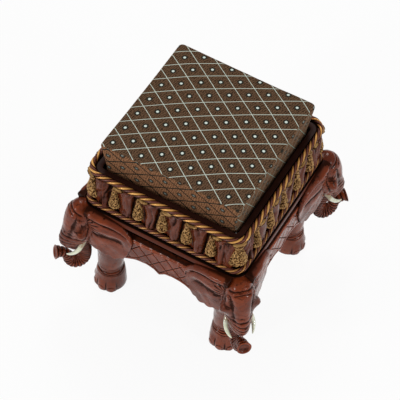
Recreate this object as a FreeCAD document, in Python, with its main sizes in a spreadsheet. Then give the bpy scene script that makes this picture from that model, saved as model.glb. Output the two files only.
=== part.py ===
import FreeCAD, Part
import math
import os
import re
import Sketcher
from FreeCAD import Placement, Rotation, Vector

# A square footstool: four elephant-head corner legs carry a moulded box with
# carved drapery, two rope mouldings and tassels, and a drop-in upholstered seat.
# Millimetres, +Z up. The origin is on the floor, at the middle of the stool.
# Sides are drawn once for a side or a corner and turned about the upright axis.

os.makedirs("parts", exist_ok=True)
doc = FreeCAD.newDocument("Footstool")
sheet = doc.addObject("Spreadsheet::Sheet", "Sizes")

sizes = [
    ("fit_gap", 0.3, "between pieces that lie against each other"),
    ("cut_overrun", 60, "how far a cutting shape runs past what it cuts"),
    ("blank_margin", 15, "how far an ear's blank runs past its outline"),
    ("well_half", 143, "half the width of the well that takes the seat"),
    ("well_corner", 13, "rounding of the well's corners"),
    ("liner_wall", 4, "thickness of the lining boards"),
    ("liner_height", 89, "lining boards above the base moulding"),
    ("seat_clearance", 9.5, "between the cushion at the rim and the well"),
    ("seat_sink", 14, "underside of the drop-in seat below the rim of the well"),
    ("seat_stand", 67, "cushion's top edge above the rim of the well"),
    ("seat_crown", 7, "crown of the cushion above its top edge"),
    ("seat_corner", 9, "corner rounding of the cushion in plan"),
    ("seat_lean", 7, "how much narrower the cushion is at the rim of the well"),
    ("seat_draw", 1.8, "how far the cushion's sides pull in between corners"),
    ("seat_edge_round", 5, "rounding of the cushion's top edge"),
    ("cover_cloth", 1.4, "fabric with its lining"),
    ("board_clearance", 1.2, "between the seat board and the cover's sides"),
    ("board_corner", 8, "corner rounding of the seat board"),
    ("board_thickness", 11, "plywood seat board"),
    ("dust_cloth", 0.8, "cloth tacked under the seat"),
    ("dust_lap", 9, "dust cloth over the hem"),
    ("dust_clearance", 5.4, "between the dust cloth and the cleats"),
    ("ledge_width", 18, "cleat that carries the seat, seen from above"),
    ("ledge_depth", 18, "cleat that carries the seat, from top to bottom"),
    ("ledge_end", 27, "end of a cleat, short of the well's corner"),
    ("rope_width", 14, "upper rope, across"),
    ("rope_rise", 1.6, "middle of the upper rope above the rim of the well"),
    ("low_rope_width", 12.6, "lower rope, across"),
    ("low_rope_reach", 15.6, "middle of the lower rope outside the well"),
    ("flat_reach", 10, "drapery behind a tassel, outside the well"),
    ("flat_margin", 2, "flat place behind a tassel, wider than the tassel"),
    ("swag_rise", 4.5, "how far a fold stands out at the top"),
    ("swag_fall", 8, "how far a fold stands out at the bottom"),
    ("corner_flat_reach", 24.2, "drapery behind a corner tassel, from the corner's centre"),
    ("corner_swag_rise", 2.5, "how far a corner fold stands out at the top"),
    ("corner_swag_fall", 4.5, "how far a corner fold stands out at the bottom"),
    ("tassel_pitch", 49, "from one tassel to the next"),
    ("tassel_width", 20, "side tassel at its widest"),
    ("corner_tassel_width", 33, "corner tassel at its widest"),
    ("tassel_rise", 11.3, "lower end of a tassel above the drapery's lower edge"),
    ("tassel_drop", 5.8, "upper end of a tassel below the drapery's upper edge"),
    ("base_bottom", 229, "floor to the underside of the base moulding"),
    ("base_depth", 38, "base moulding, from top to bottom"),
    ("base_corner", 5, "inner rounding of the base moulding's corners"),
    ("fillet_reach", 21.7, "base moulding's fillet outside the well"),
    ("fillet_depth", 13, "fillet, from top to bottom"),
    ("fillet_round", 3.5, "bevel along the top of the fillet"),
    ("cove_reach", 10, "back of the cove outside the well"),
    ("cove_ledge", 9, "plain strip under the cove"),
    ("face_reach", 22, "face of the aprons and leg blocks outside the well"),
    ("apron_thickness", 20, "apron at its top band"),
    ("apron_sink", 2.5, "carved face of an apron behind its top band"),
    ("apron_band", 9, "height of an apron's top band"),
    ("apron_depth", 74, "apron beside the legs, from top to bottom"),
    ("arch_depth", 58, "apron at the top of its arches"),
    ("point_depth", 71, "apron at its middle point"),
    ("shoulder_reach", 28, "where the apron's edge starts to rise, from the leg block"),
    ("block_width", 63, "leg block, along a side"),
    ("block_depth", 61, "leg block, from top to bottom"),
    ("head_seat_depth", 7.8, "flat for a head, cut into the base moulding's corner"),
    ("leg_set_back", 35.8, "middle of a leg behind the flat for a head"),
    ("foot_radius", 31, "sole of a foot"),
    ("toe_depth", 2.6, "how far a toe stands out of the foot"),
    ("toe_height", 11, "floor to the thickest part of the toes"),
    ("instep_radius", 28.5, "foot at the instep"),
    ("instep_toe_depth", 1, "how far a toe stands out at the instep"),
    ("instep_rise", 20, "instep above the thickest part of the toes"),
    ("foot_top_radius", 26.8, "top of a foot"),
    ("foot_top_rise", 16, "top of a foot above the instep"),
    ("ankle_radius", 23.4, "crease above the foot"),
    ("crease_rise", 6, "crease above the top of a foot"),
    ("shin_radius", 25, "leg above the crease"),
    ("thigh_radius", 26.2, "leg where it starts to widen"),
    ("thigh_drop", 56, "where a leg starts to widen, below the leg block"),
    ("knee_radius", 27, "leg halfway to the block, where it is still round"),
    ("ear_length", 83.7, "ear from its root to its tip"),
    ("ear_height", 119, "ear, from top to bottom"),
    ("ear_rise", 2, "top of an ear above the base moulding"),
    ("ear_tip_thickness", 4, "ear at its tip"),
    ("ear_root_thickness", 16, "ear at its root"),
    ("jaw_rise", 8, "jaw above the bottom of the leg block, where the head is fixed"),
    ("trunk_depth", 107, "bottom of the trunk's curl below the jaw"),
    ("head_reach", 61, "from the head's back to the front of the trunk's root"),
    ("head_half", 37, "half the head's width at the cheeks"),
    ("tusk_radius", 4.4, "tusk where it leaves its socket"),
    ("tusk_peg", 9, "tusk inside its socket"),
    ("tusk_play", 0.12, "clearance round the peg in its socket"),
    ("brace_leg", 46, "short sides of a corner brace"),
    ("brace_thickness", 18, "corner brace"),
    ("screw_radius", 2.7, "shank of a leg screw"),
    ("screw_head_radius", 5.4, "head of a leg screw"),
    ("screw_length", 46, "leg screw with its head"),
    ("screw_play", 0.15, "clearance round a leg screw"),
]

# What lines up with, sits on or fits in another piece is worked out from its
# sizes. A half is measured from the stool's centre to a side, an out along the
# diagonal to a corner, and a height, top, bottom or low from the floor.

worked_out = {
    "well_centre": "well_half - well_corner",
    "seat_half": "well_half - seat_clearance + seat_lean",
    "board_half": "seat_half - seat_lean - cover_cloth - board_clearance",
    "dust_half": "well_half - ledge_width - dust_clearance",
    "hem_half": "dust_half - dust_lap",
    "ledge_half": "well_half - ledge_end",
    "rope_half": "well_half + liner_wall + fit_gap + rope_width / 2",
    "low_rope_half": "well_half + low_rope_reach",
    "flat_half": "well_half + flat_reach",
    "flat_width": "tassel_width + flat_margin",
    "corner_flat_out": "well_centre * sqrt(2) + corner_flat_reach",
    "corner_flat_half": "corner_tassel_width / 2 + fit_gap",
    "base_centre": "well_half - base_corner",
    "base_half": "well_half + fillet_reach",
    "base_cove_half": "well_half + cove_reach",
    "face_half": "well_half + face_reach",
    "apron_inner": "face_half - apron_thickness",
    "block_inner": "face_half - block_width",
    "apron_shoulder": "block_inner - shoulder_reach",
    "block_out": "base_centre * sqrt(2) + base_half - base_centre - head_seat_depth",
    "leg_out": "block_out - leg_set_back",
    "ear_root": "block_out * sqrt(2) - face_half",
    "ear_tip": "ear_root - ear_length",
    "ear_root_half": "face_half + ear_root_thickness",
    "instep_height": "toe_height + instep_rise",
    "foot_height": "instep_height + foot_top_rise",
    "crease_height": "foot_height + crease_rise",
    "block_bottom": "base_bottom - block_depth",
    "thigh_height": "block_bottom - thigh_drop",
    "jaw_height": "block_bottom + jaw_rise",
    "curl_bottom": "jaw_height - trunk_depth",
    "apron_low": "base_bottom - apron_depth",
    "apron_arch": "base_bottom - arch_depth",
    "apron_point": "base_bottom - point_depth",
    "base_cove_low": "base_bottom + cove_ledge",
    "base_top": "base_bottom + base_depth",
    "base_fillet_low": "base_top - fillet_depth",
    "ear_top": "base_top + ear_rise",
    "ear_bottom": "ear_top - ear_height",
    "well_top": "base_top + liner_height",
    "rope_height": "well_top + rope_rise",
    "low_rope_height": "base_top + fit_gap + low_rope_width / 2",
    "drapery_top": "rope_height - rope_width / 2 - fit_gap",
    "drapery_bottom": "low_rope_height + low_rope_width / 2 + fit_gap",
    "tassel_bottom": "drapery_bottom + tassel_rise",
    "tassel_height": "drapery_top - tassel_drop - tassel_bottom",
    "seat_bottom": "well_top - seat_sink",
    "seat_edge_height": "well_top + seat_stand",
    "stool_height": "seat_edge_height + seat_crown",
}
for row, (alias, number, remark) in enumerate(sizes, start=1):
    sheet.set(f"A{row}", alias)
    sheet.set(f"B{row}", str(number))
    sheet.setAlias(f"B{row}", alias)
    sheet.set(f"C{row}", remark)
doc.recompute()

upright = Vector(0, 0, 1)
subparts = []


def linked(text):
    # names always hold an underscore; one that is worked out is written in full
    def written(name):
        formula = worked_out.get(name.group())
        return f"({linked(formula)})" if formula else f"Sizes.{name.group()}"

    return re.sub(r"[a-z]+(?:_[a-z]+)+", written, text)


def mm(text):
    return float(sheet.evalExpression(linked(text)))


def turned(angle):
    return Placement(Vector(0, 0, 0), Rotation(upright, angle))


def new_body(name, angle=0):
    body = doc.addObject("PartDesign::Body", name)
    body.Label = name
    body.Placement = turned(angle)
    subparts.append(body)
    return body


def origin_plane(body, role):
    return next(plane for plane in body.Origin.OriginFeatures if plane.Role == role)


def pin_point(sketch, edge, end, across, up):
    for kind, text in (("DistanceX", across), ("DistanceY", up)):
        place = sketch.addConstraint(Sketcher.Constraint(kind, -1, 1, edge, end, mm(text)))
        sketch.setExpression(f"Constraints[{place}]", linked(text))


def draw_loop(sketch, corners):
    # a corner is (across, up), with (through_across, through_up) added where an
    # arc leads from it to the next corner
    count = len(corners)
    spots = [Vector(mm(corner[0]), mm(corner[1]), 0) for corner in corners]
    edges = []
    for place, corner in enumerate(corners):
        here = spots[place]
        there = spots[(place + 1) % count]
        if len(corner) == 2:
            edge = sketch.addGeometry(Part.LineSegment(here, there), False)
            edges.append((edge, 1, 2))
            continue
        through = Vector(mm(corner[2]), mm(corner[3]), 0)
        leftward = (through - here).cross(there - through).z > 0
        arc = Part.Arc(here, through, there) if leftward else Part.Arc(there, through, here)
        edge = sketch.addGeometry(arc, False)
        edges.append((edge, 1, 2) if leftward else (edge, 2, 1))
        point = sketch.addGeometry(Part.Point(through), True)
        sketch.addConstraint(Sketcher.Constraint("PointOnObject", point, 1, edge))
        pin_point(sketch, point, 1, corner[2], corner[3])
    for place, (edge, first, last) in enumerate(edges):
        following = edges[(place + 1) % count]
        sketch.addConstraint(
            Sketcher.Constraint("Coincident", edge, last, following[0], following[1]))
        pin_point(sketch, edge, first, corners[place][0], corners[place][1])


def new_sketch(body, name, role, **offsets):
    sketch = body.newObject("Sketcher::SketchObject", name)
    sketch.AttachmentSupport = (origin_plane(body, role), [""])
    sketch.MapMode = "FlatFace"
    for axis, text in offsets.items():
        sketch.setExpression(f"AttachmentOffset.Base.{axis}", linked(text))
    return sketch


def pad(body, sketch, length, side="One side", flip=False):
    feature = body.newObject("PartDesign::Pad", sketch.Name + "Pad")
    feature.Profile = sketch
    feature.SideType = side
    feature.Reversed = flip
    feature.setExpression("Length", linked(length))
    return feature


def pocket(body, sketch, length, side="One side", flip=False):
    doc.recompute()
    before = body.Shape.Volume
    feature = body.newObject("PartDesign::Pocket", sketch.Name + "Pocket")
    feature.Profile = sketch
    feature.SideType = side
    feature.Reversed = flip
    feature.setExpression("Length", linked(length))
    doc.recompute()
    if body.Shape.Volume >= before:
        raise RuntimeError(f"{feature.Name} cuts nothing")
    return feature


def new_feature(name, shape, angle=0):
    feature = doc.addObject("Part::Feature", name)
    feature.Label = name
    feature.Shape = shape
    feature.Placement = turned(angle)
    subparts.append(feature)
    return feature


# Carved and upholstered forms are closed from rings of points: one flat face
# for each four points where they lie in a plane, and two where they don't.

flat_share = 1e-8


def flat_face(points):
    return Part.Face(Part.makePolygon(points + [points[0]]))


def faceted(rings):
    faces = [flat_face(rings[0]), flat_face(rings[-1])]
    count = len(rings[0])
    for low, high in zip(rings, rings[1:]):
        for place in range(count):
            ahead = (place + 1) % count
            corners = [low[place], low[ahead], high[ahead], high[place]]
            normal = (corners[1] - corners[0]).cross(corners[3] - corners[0]).normalize()
            diagonal = corners[2] - corners[0]
            if abs(normal.dot(diagonal)) < flat_share * diagonal.Length:
                faces.append(flat_face(corners))
            else:
                faces.append(flat_face(corners[:3]))
                faces.append(flat_face([corners[0], corners[2], corners[3]]))
    solid = Part.Solid(Part.Shell(faces))
    if solid.Volume < 0:
        solid.reverse()
    return solid.removeSplitter()


def arc_points(start, through, end, parts):
    return Part.Arc(start, through, end).toShape().discretize(Number=parts + 1)


steep_share = 0.9


def tube_ring(centre, direction, radius, sides):
    aside = upright if abs(direction.z) < steep_share else Vector(1, 0, 0)
    across = direction.cross(aside).normalize()
    over = across.cross(direction).normalize()
    turns = [2 * math.pi * place / sides for place in range(sides)]
    return [centre + across * radius * math.cos(turn) + over * radius * math.sin(turn)
            for turn in turns]


# Frame sides: a section drawn outward of the corner's centre is padded along
# the straight run and revolved by half a corner at each end, so four of them
# close with mitres. Drawn for the back side, outward +Y.

side_angles = {"back": 0, "left": 90, "front": 180, "right": 270}
corner_angles = {
    "back_right": 45, "back_left": 135, "front_left": 225, "front_right": 315}


def mitred_side(name, angle, centre, corners, bend=45):
    body = new_body(name, angle)
    section = new_sketch(body, "Section", "YZ_Plane", x=centre, z=centre)
    draw_loop(section, corners)
    pad(body, section, f"2 * {centre}", flip=True)
    turn = body.newObject("PartDesign::Revolution", "Corner")
    turn.Profile = section
    turn.ReferenceAxis = (section, ["V_Axis"])
    turn.Angle = bend
    turn.Reversed = True
    doc.recompute()
    return body, turn


def both_ends(body, turn):
    mirror = body.newObject("PartDesign::Mirrored", "OtherCorner")
    mirror.Originals = [turn]
    mirror.MirrorPlane = (origin_plane(body, "YZ_Plane"), [""])
    body.Tip = mirror
    doc.recompute()


def cut_head_seats(body):
    # flats across both corners, square to the diagonals, where the heads are fixed
    seats = new_sketch(body, "HeadSeats", "XY_Plane")
    reach = "block_out * sqrt(2)"
    far = "face_half + cut_overrun"
    for sign in ("", "-"):
        draw_loop(seats, [
            (f"{sign}({far})", f"{reach} - ({far})"),
            (f"{sign}({far})", far),
            (f"{sign}({reach} - ({far}))", far)])
    pocket(body, seats, "2 * (base_top + cut_overrun)", side="Symmetric")


for side, angle in side_angles.items():
    body, turn = mitred_side("well_liner_" + side, angle, "well_centre", [
        ("well_half - well_centre", "base_top"),
        ("well_half - well_centre + liner_wall", "base_top"),
        ("well_half - well_centre + liner_wall", "well_top"),
        ("well_half - well_centre", "well_top")])
    both_ends(body, turn)

fillet_out = "base_half - base_centre"
cove_out = "base_cove_half - base_centre"
cove_shares = ((0.1, 0.5), (0.45, 0.85))
cove_curve = [
    (f"{cove_out} + {out_share} * (base_half - base_cove_half)",
     f"base_cove_low + {up_share} * (base_fillet_low - base_cove_low)")
    for out_share, up_share in cove_shares]
for side, angle in side_angles.items():
    body, turn = mitred_side("base_moulding_" + side, angle, "base_centre", [
        ("well_half - base_centre", "base_bottom"),
        (cove_out, "base_bottom"),
        (cove_out, "base_cove_low"),
        *cove_curve,
        (fillet_out, "base_fillet_low"),
        (fillet_out, "base_top - fillet_round"),
        (f"{fillet_out} - fillet_round", "base_top"),
        ("well_half - base_centre", "base_top")])
    both_ends(body, turn)
    cut_head_seats(body)


# Rope mouldings: one straight run and one full corner, repeated four times.

rope_side_count = 8


def rope_ring(name, centre, half, height, width):
    angles = [2 * math.pi * (place + 0.5) / rope_side_count for place in range(rope_side_count)]
    body, turn = mitred_side(name, 0, centre, [
        (f"{half} - {centre} + {width} / 2 * {math.sin(angle):.6f}",
         f"{height} - {width} / 2 * {math.cos(angle):.6f}") for angle in angles], bend=90)
    ring = body.newObject("PartDesign::PolarPattern", "Sides")
    ring.Originals = [body.Group[1], turn]
    ring.Axis = (origin_plane(body, "Z_Axis"), [""])
    ring.Angle = 360
    ring.Occurrences = 4
    body.Tip = ring
    doc.recompute()


rope_ring("upper_rope", "well_centre", "rope_half", "rope_height", "rope_width")
rope_ring("lower_rope", "base_centre", "low_rope_half", "low_rope_height", "low_rope_width")


# Carved drapery: one panel a side, mitred at the corners. Folds swell between
# the flats that carry the tassels and stand out further at the bottom.

fold_facet_count = 5
corner_facet_count = 3


def drapery_ring(height, rise, corner_rise):
    centre = mm("well_centre")
    inner = mm("well_half + liner_wall + fit_gap")
    flat = mm("flat_half")
    pitch = mm("tassel_pitch")
    half_flat = mm("flat_width / 2")
    out = mm("corner_flat_out")
    lateral = mm("corner_flat_half")

    def spot(across, outward):
        return Vector(across, outward, height)

    def along_diagonal(out, lateral):
        return spot((out - lateral) / math.sqrt(2), (out + lateral) / math.sqrt(2))

    corner_end = along_diagonal(out, lateral)
    points = [spot(0, flat)]
    for place in range(3):
        start = spot(place * pitch + half_flat, flat)
        end = spot((place + 1) * pitch - half_flat, flat) if place < 2 else corner_end
        chord = end - start
        crest = rise if place < 2 else corner_rise
        through = start + chord / 2 + Vector(-chord.y, chord.x, 0).normalize() * crest
        points += arc_points(start, through, end, fold_facet_count)
    points.append(along_diagonal(out, 0))
    bend = inner - centre
    turns = [math.radians(45 + 45 * place / corner_facet_count) for place in range(corner_facet_count + 1)]
    points += [spot(centre + bend * math.cos(turn), centre + bend * math.sin(turn)) for turn in turns]
    mirrored = [Vector(-point.x, point.y, point.z) for point in reversed(points[1:])]
    return points + mirrored


drapery = faceted([
    drapery_ring(mm("drapery_bottom"), mm("swag_fall"), mm("corner_swag_fall")),
    drapery_ring(mm("drapery_top"), mm("swag_rise"), mm("corner_swag_rise"))])
for side, angle in side_angles.items():
    new_feature("drapery_" + side, drapery.copy(), angle)


# Tassels: a knotted neck over a flared skirt, flat behind, in six facets.

tassel_shares = [
    (0.0, 0.64), (0.06, 0.94), (0.30, 1.0), (0.58, 0.80), (0.79, 0.44), (0.88, 0.58), (1.0, 0.30)]
tassel_facet_count = 6


def tassel(across, outward, width):
    rings = []
    for height_share, width_share in tassel_shares:
        height = mm("tassel_bottom") + height_share * mm("tassel_height")
        radius = width_share * width / 2
        corners = []
        for place in range(tassel_facet_count + 1):
            turn = math.pi * place / tassel_facet_count
            corners.append(Vector(
                across + radius * math.cos(turn), outward + radius * math.sin(turn), height))
        rings.append(corners)
    return faceted(rings)


for side, angle in side_angles.items():
    row = [tassel(place * mm("tassel_pitch"), mm("flat_half"), mm("tassel_width"))
           for place in range(-2, 3)]
    new_feature("tassels_" + side, Part.makeCompound(row), angle)
for corner, angle in corner_angles.items():
    single = tassel(0, mm("corner_flat_out"), mm("corner_tassel_width"))
    new_feature("corner_tassel_" + corner, single, angle - 90)


# Aprons: a hung cloth's edge, arched twice between the legs, under a plain
# band. Drawn for the front side, outward -Y. An arch climbs from the shoulder
# through its outer place to its top and falls through its inner place to the
# middle point.

arch_outer_shares = (1.35, 0.82)
arch_top_share = 0.75
arch_inner_shares = (0.3, 0.72)
arch_outer = (
    f"apron_shoulder / 2 * {arch_outer_shares[0]}",
    f"apron_low + {arch_outer_shares[1]} * (apron_arch - apron_low)")
arch_top = f"apron_shoulder / 2 * {arch_top_share}"
arch_inner = (
    f"apron_shoulder / 2 * {arch_inner_shares[0]}",
    f"apron_point + {arch_inner_shares[1]} * (apron_arch - apron_point)")

for side, angle in side_angles.items():
    body = new_body("apron_" + side, angle + 180)
    face = new_sketch(body, "Face", "XZ_Plane", z="apron_inner")
    draw_loop(face, [
        ("-block_inner", "apron_low"),
        ("-apron_shoulder", "apron_low", f"-{arch_outer[0]}", arch_outer[1]),
        (f"-{arch_top}", "apron_arch", f"-{arch_inner[0]}", arch_inner[1]),
        ("0", "apron_point", *arch_inner),
        (arch_top, "apron_arch", *arch_outer),
        ("apron_shoulder", "apron_low"),
        ("block_inner", "apron_low"),
        ("block_inner", "base_bottom"),
        ("-block_inner", "base_bottom")])
    pad(body, face, "face_half - apron_sink - apron_inner")
    band = new_sketch(body, "Band", "XZ_Plane", z="apron_inner")
    draw_loop(band, [
        ("-block_inner", "base_bottom - apron_band"),
        ("block_inner", "base_bottom - apron_band"),
        ("block_inner", "base_bottom"),
        ("-block_inner", "base_bottom")])
    pad(body, band, "face_half - apron_inner")
    doc.recompute()


# Ears: the flap's outline is left when the rest of a wedge is cut away.
# Its back is flat on the apron and the leg block, its root against the head.
# Each row is a place on the outline, from the tip to past the root and from the
# lobe to the top, with a second place where an arc leads from it to the next.

ear_shares = [
    ((1.12, 0.20), None), ((0.66, 0.04), None), ((0.40, 0.0), (0.235, 0.07)),
    ((0.14, 0.20), (0.04, 0.41)), ((0.0, 0.60), (0.035, 0.72)),
    ((0.13, 0.81), (0.26, 0.885)), ((0.42, 0.92), None), ((1.12, 1.0), None)]


def ear(name, angle, sign):
    body = new_body(name, angle + 180)
    wedge = new_sketch(body, "Wedge", "XY_Plane", z="ear_bottom - blank_margin")
    draw_loop(wedge, [
        (f"{sign}(ear_tip - blank_margin)", "-face_half"),
        (f"{sign}ear_root", "-face_half"),
        (f"{sign}(block_out * sqrt(2) - ear_root_half)", "-ear_root_half"),
        (f"{sign}(ear_tip - blank_margin)", "-(face_half + ear_tip_thickness)")])
    pad(body, wedge, "ear_height + 2 * blank_margin")

    def placed(across_share, up_share):
        return (f"{sign}(ear_tip + {across_share} * ear_length)",
                f"ear_bottom + {up_share} * ear_height")

    outline = new_sketch(body, "Outline", "XZ_Plane")
    left, right = f"{sign}(ear_tip - cut_overrun)", f"{sign}(ear_root + cut_overrun)"
    low, high = "ear_bottom - cut_overrun", "ear_top + cut_overrun"
    draw_loop(outline, [(left, low), (right, low), (right, high), (left, high)])
    draw_loop(outline, [placed(*spot) + (placed(*through) if through else ())
                        for spot, through in ear_shares])
    pocket(body, outline, "2 * (ear_root_half + cut_overrun)", side="Symmetric")


for side, angle in side_angles.items():
    ear(f"ear_{side}_a", angle, "")
    ear(f"ear_{side}_b", angle, "-")


# Legs: a toed foot, a creased ankle and a shin that widens into the square
# block under the base moulding. Drawn outward +X, one edge between each pair of
# the block's corners all the way up.

def leg_corners():
    root = math.sqrt(2)
    inner = mm("block_inner")
    face = mm("face_half")
    out = mm("block_out")
    seat = face * root - out
    side = ((inner + face) / root, (face - inner) / root)
    tail = (inner * root, 0)
    middle = ((side[0] + tail[0]) / 2, side[1] / 2)
    half = [(out, seat), side, middle]
    return [(out, 0)] + half + [tail] + [(x, -y) for x, y in reversed(half)]


edge_facet_count = 3
knee_square_share = 0.6


def leg_ring(height, radius, bulge=0, square_share=0):
    centre = mm("leg_out")
    block = leg_corners()
    turns = [math.atan2(y, x - centre) for x, y in block]
    points = []
    for place, turn in enumerate(turns):
        ahead = (place + 1) % len(block)
        sweep = (turns[ahead] - turn) % (2 * math.pi)
        for step in range(edge_facet_count):
            share = step / edge_facet_count
            at = turn + sweep * share
            reach = radius + bulge * math.sin(math.pi * share)
            ring = Vector(centre + reach * math.cos(at), reach * math.sin(at), height)
            square = Vector(*block[place], height) * (1 - share) + Vector(*block[ahead], height) * share
            points.append(ring * (1 - square_share) + square * square_share)
    return points


leg_shape = faceted([
    leg_ring(0, mm("foot_radius"), mm("toe_depth")),
    leg_ring(mm("toe_height"), mm("foot_radius"), mm("toe_depth")),
    leg_ring(mm("instep_height"), mm("instep_radius"), mm("instep_toe_depth")),
    leg_ring(mm("foot_height"), mm("foot_top_radius")),
    leg_ring(mm("crease_height"), mm("ankle_radius")),
    leg_ring(mm("crease_height + crease_rise"), mm("shin_radius")),
    leg_ring(mm("thigh_height"), mm("thigh_radius")),
    leg_ring(mm("(thigh_height + block_bottom) / 2"), mm("knee_radius"), 0, knee_square_share),
    leg_ring(mm("block_bottom"), mm("knee_radius"), 0, 1),
    leg_ring(mm("base_bottom"), mm("knee_radius"), 0, 1)])


# Leg screws: one upright in each corner, countersunk in the brace above the leg.

screw_place = Vector(mm("leg_out"), 0, 0)
screw_facet_count = 10


def screw_form(play):
    top = mm("base_bottom + brace_thickness")
    neck = top - mm("screw_head_radius - screw_radius")
    bottom = top - mm("screw_length") - play
    shank = mm("screw_radius") + play
    head = mm("screw_head_radius") + play
    return faceted([
        tube_ring(screw_place + upright * height, upright, radius, screw_facet_count)
        for height, radius in ((bottom, shank), (neck, shank), (top, head))])


screw_hole = screw_form(mm("screw_play"))
leg_shape = leg_shape.cut(screw_hole)
for corner, angle in corner_angles.items():
    new_feature("leg_" + corner, leg_shape.copy(), angle)


# Heads: sections fan round the jaw from the flat back over the brow to the
# face, then follow the trunk through its curl to the flared tip. Each row gives
# the two ends of a section on the profile and its half width, as shares, and by
# what share it is narrower towards its second end, the crown, brow and face.
# Along the profile 0 is the flat back and 1 the front of the trunk's root.
# Upwards 0 is the bottom of the curl and 1 the jaw.

head_profile_shares = [
    ((0.000, 1.000), (0.000, 1.813), 0.84, 0.30),
    ((0.025, 1.009), (0.164, 1.836), 0.92, 0.32),
    ((0.049, 1.019), (0.361, 1.850), 0.955, 0.34),
    ((0.066, 1.028), (0.549, 1.785), 0.98, 0.36),
    ((0.082, 1.028), (0.697, 1.654), 1.00, 0.36),
    ((0.084, 1.019), (0.803, 1.430), 1.00, 0.36),
    ((0.080, 0.991), (0.902, 1.159), 0.89, 0.30),
    ((0.072, 0.925), (1.000, 0.953), 0.67, 0.18),
    ((0.066, 0.813), (0.959, 0.766), 0.53, 0.06),
    ((0.049, 0.664), (0.705, 0.654), 0.45, 0),
    ((0.016, 0.514), (0.410, 0.551), 0.38, 0),
    ((0.016, 0.383), (0.385, 0.411), 0.34, 0),
    ((0.049, 0.234), (0.377, 0.322), 0.32, 0),
    ((0.164, 0.103), (0.402, 0.252), 0.31, 0),
    ((0.344, 0.019), (0.443, 0.215), 0.30, 0),
    ((0.557, 0.009), (0.508, 0.210), 0.30, 0),
    ((0.754, 0.075), (0.566, 0.243), 0.29, 0),
    ((0.877, 0.187), (0.582, 0.290), 0.285, 0),
    ((0.918, 0.308), (0.590, 0.355), 0.28, 0),
    ((0.951, 0.383), (0.656, 0.467), 0.27, 0),
    ((1.033, 0.411), (0.852, 0.589), 0.285, 0),
    ((1.189, 0.411), (1.090, 0.654), 0.35, 0)]


def head_spot(along_share, up_share, side_share=0):
    return Vector(
        mm("block_out") + along_share * mm("head_reach"),
        side_share * mm("head_half"),
        mm("curl_bottom") + up_share * mm("trunk_depth"))


head_facet_count = 16


def head_ring(low_share, high_share, width_share, narrowing):
    low = head_spot(*low_share)
    high = head_spot(*high_share)
    half = (high - low) / 2
    middle = (high + low) / 2
    sideways = Vector(0, width_share * mm("head_half"), 0)
    turns = [2 * math.pi * place / head_facet_count for place in range(head_facet_count)]
    return [middle + half * math.cos(turn)
            + sideways * math.sin(turn) * (1 - narrowing * (1 + math.cos(turn)) / 2)
            for turn in turns]


head_shape = faceted([head_ring(*row) for row in head_profile_shares])

# Tusks: a straight peg in a socket under the cheek, then a taper that curves
# forward. Each row is a place on the head and a share of the tusk's radius.

tusk_shares = [
    ((0.31, 0.925, 0.52), 1.0), ((0.44, 0.845, 0.69), 1.0),
    ((0.62, 0.735, 0.755), 0.84), ((0.77, 0.665, 0.735), 0.56), ((0.87, 0.640, 0.70), 0.22)]
tusk_facet_count = 8


def tusk(sign, play=0):
    # with play it is the socket, which ends a little past the cheek
    places = [head_spot(along, up, sign * side) for (along, up, side), _ in tusk_shares]
    radii = [mm("tusk_radius") * share + play for _, share in tusk_shares]
    peg = (places[1] - places[0]).normalize()
    places[0] -= peg * (mm("tusk_peg") + play)
    directions = [peg, peg] + [(places[at + 1] - places[at - 1]).normalize()
                               for at in range(2, len(places) - 1)]
    directions.append((places[-1] - places[-2]).normalize())
    rings = [tube_ring(place, direction, radius, tusk_facet_count)
             for place, direction, radius in zip(places, directions, radii)]
    return faceted(rings[:2] if play else rings)


for sign in (1, -1):
    head_shape = head_shape.cut(tusk(sign, mm("tusk_play")))
tusk_pair = Part.makeCompound([tusk(1), tusk(-1)])
for corner, angle in corner_angles.items():
    new_feature("head_" + corner, head_shape.copy(), angle)
    new_feature("tusks_" + corner, tusk_pair.copy(), angle)


# Corner braces: gussets inside the base moulding, on top of the legs, each held
# down by one countersunk screw.

brace_clip_share = 1.2
near = mm("well_half - brace_leg")
side_on = mm("well_half")
clip = side_on - brace_clip_share * mm("well_half - base_centre")
gusset = flat_face([
    Vector(x, y, mm("base_bottom")) for x, y in
    ((near, side_on), (clip, side_on), (side_on, clip), (side_on, near))])
gusset = gusset.extrude(upright * mm("brace_thickness"))
gusset.rotate(Vector(0, 0, 0), upright, -45)
gusset = gusset.cut(screw_hole)


def at_corners(shape):
    copies = []
    for angle in corner_angles.values():
        single = shape.copy()
        single.rotate(Vector(0, 0, 0), upright, angle)
        copies.append(single)
    return Part.makeCompound(copies)


new_feature("corner_braces", at_corners(gusset))
new_feature("leg_screws", at_corners(screw_form(0)))


# Cleats inside the well that the seat rests on.

for side, angle in side_angles.items():
    body = new_body("seat_cleat_" + side, angle)
    plan = new_sketch(body, "Plan", "XY_Plane", z="seat_bottom - fit_gap - ledge_depth")
    draw_loop(plan, [
        ("-ledge_half", "well_half - ledge_width"), ("ledge_half", "well_half - ledge_width"),
        ("ledge_half", "well_half"), ("-ledge_half", "well_half")])
    pad(body, plan, "ledge_depth")


# The drop-in seat: plywood board, foam and a tight fabric cover whose hem is
# turned under the board, with a dust cloth below. The cushion's sides pull in a
# little between its corners and its top is crowned.

side_shares = (-1, -0.5, 0, 0.5, 1)
crown_shares = (0.72, 0.44, 0.18)
edge_share = 0.3
rim_draw_share = 0.4
top_draw_share = 0.65


def cushion_ring(height, half, corner, draw):
    straight = half - corner
    quarter = [Vector(-share * straight, half - draw * (1 - share ** 2), height)
               for share in side_shares]
    for place in range(1, corner_facet_count):
        turn = math.radians(90 + 90 * place / corner_facet_count)
        quarter.append(Vector(
            corner * math.cos(turn) - straight, corner * math.sin(turn) + straight, height))
    return [Rotation(upright, 90 * at).multVec(point) for at in range(4) for point in quarter]


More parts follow.
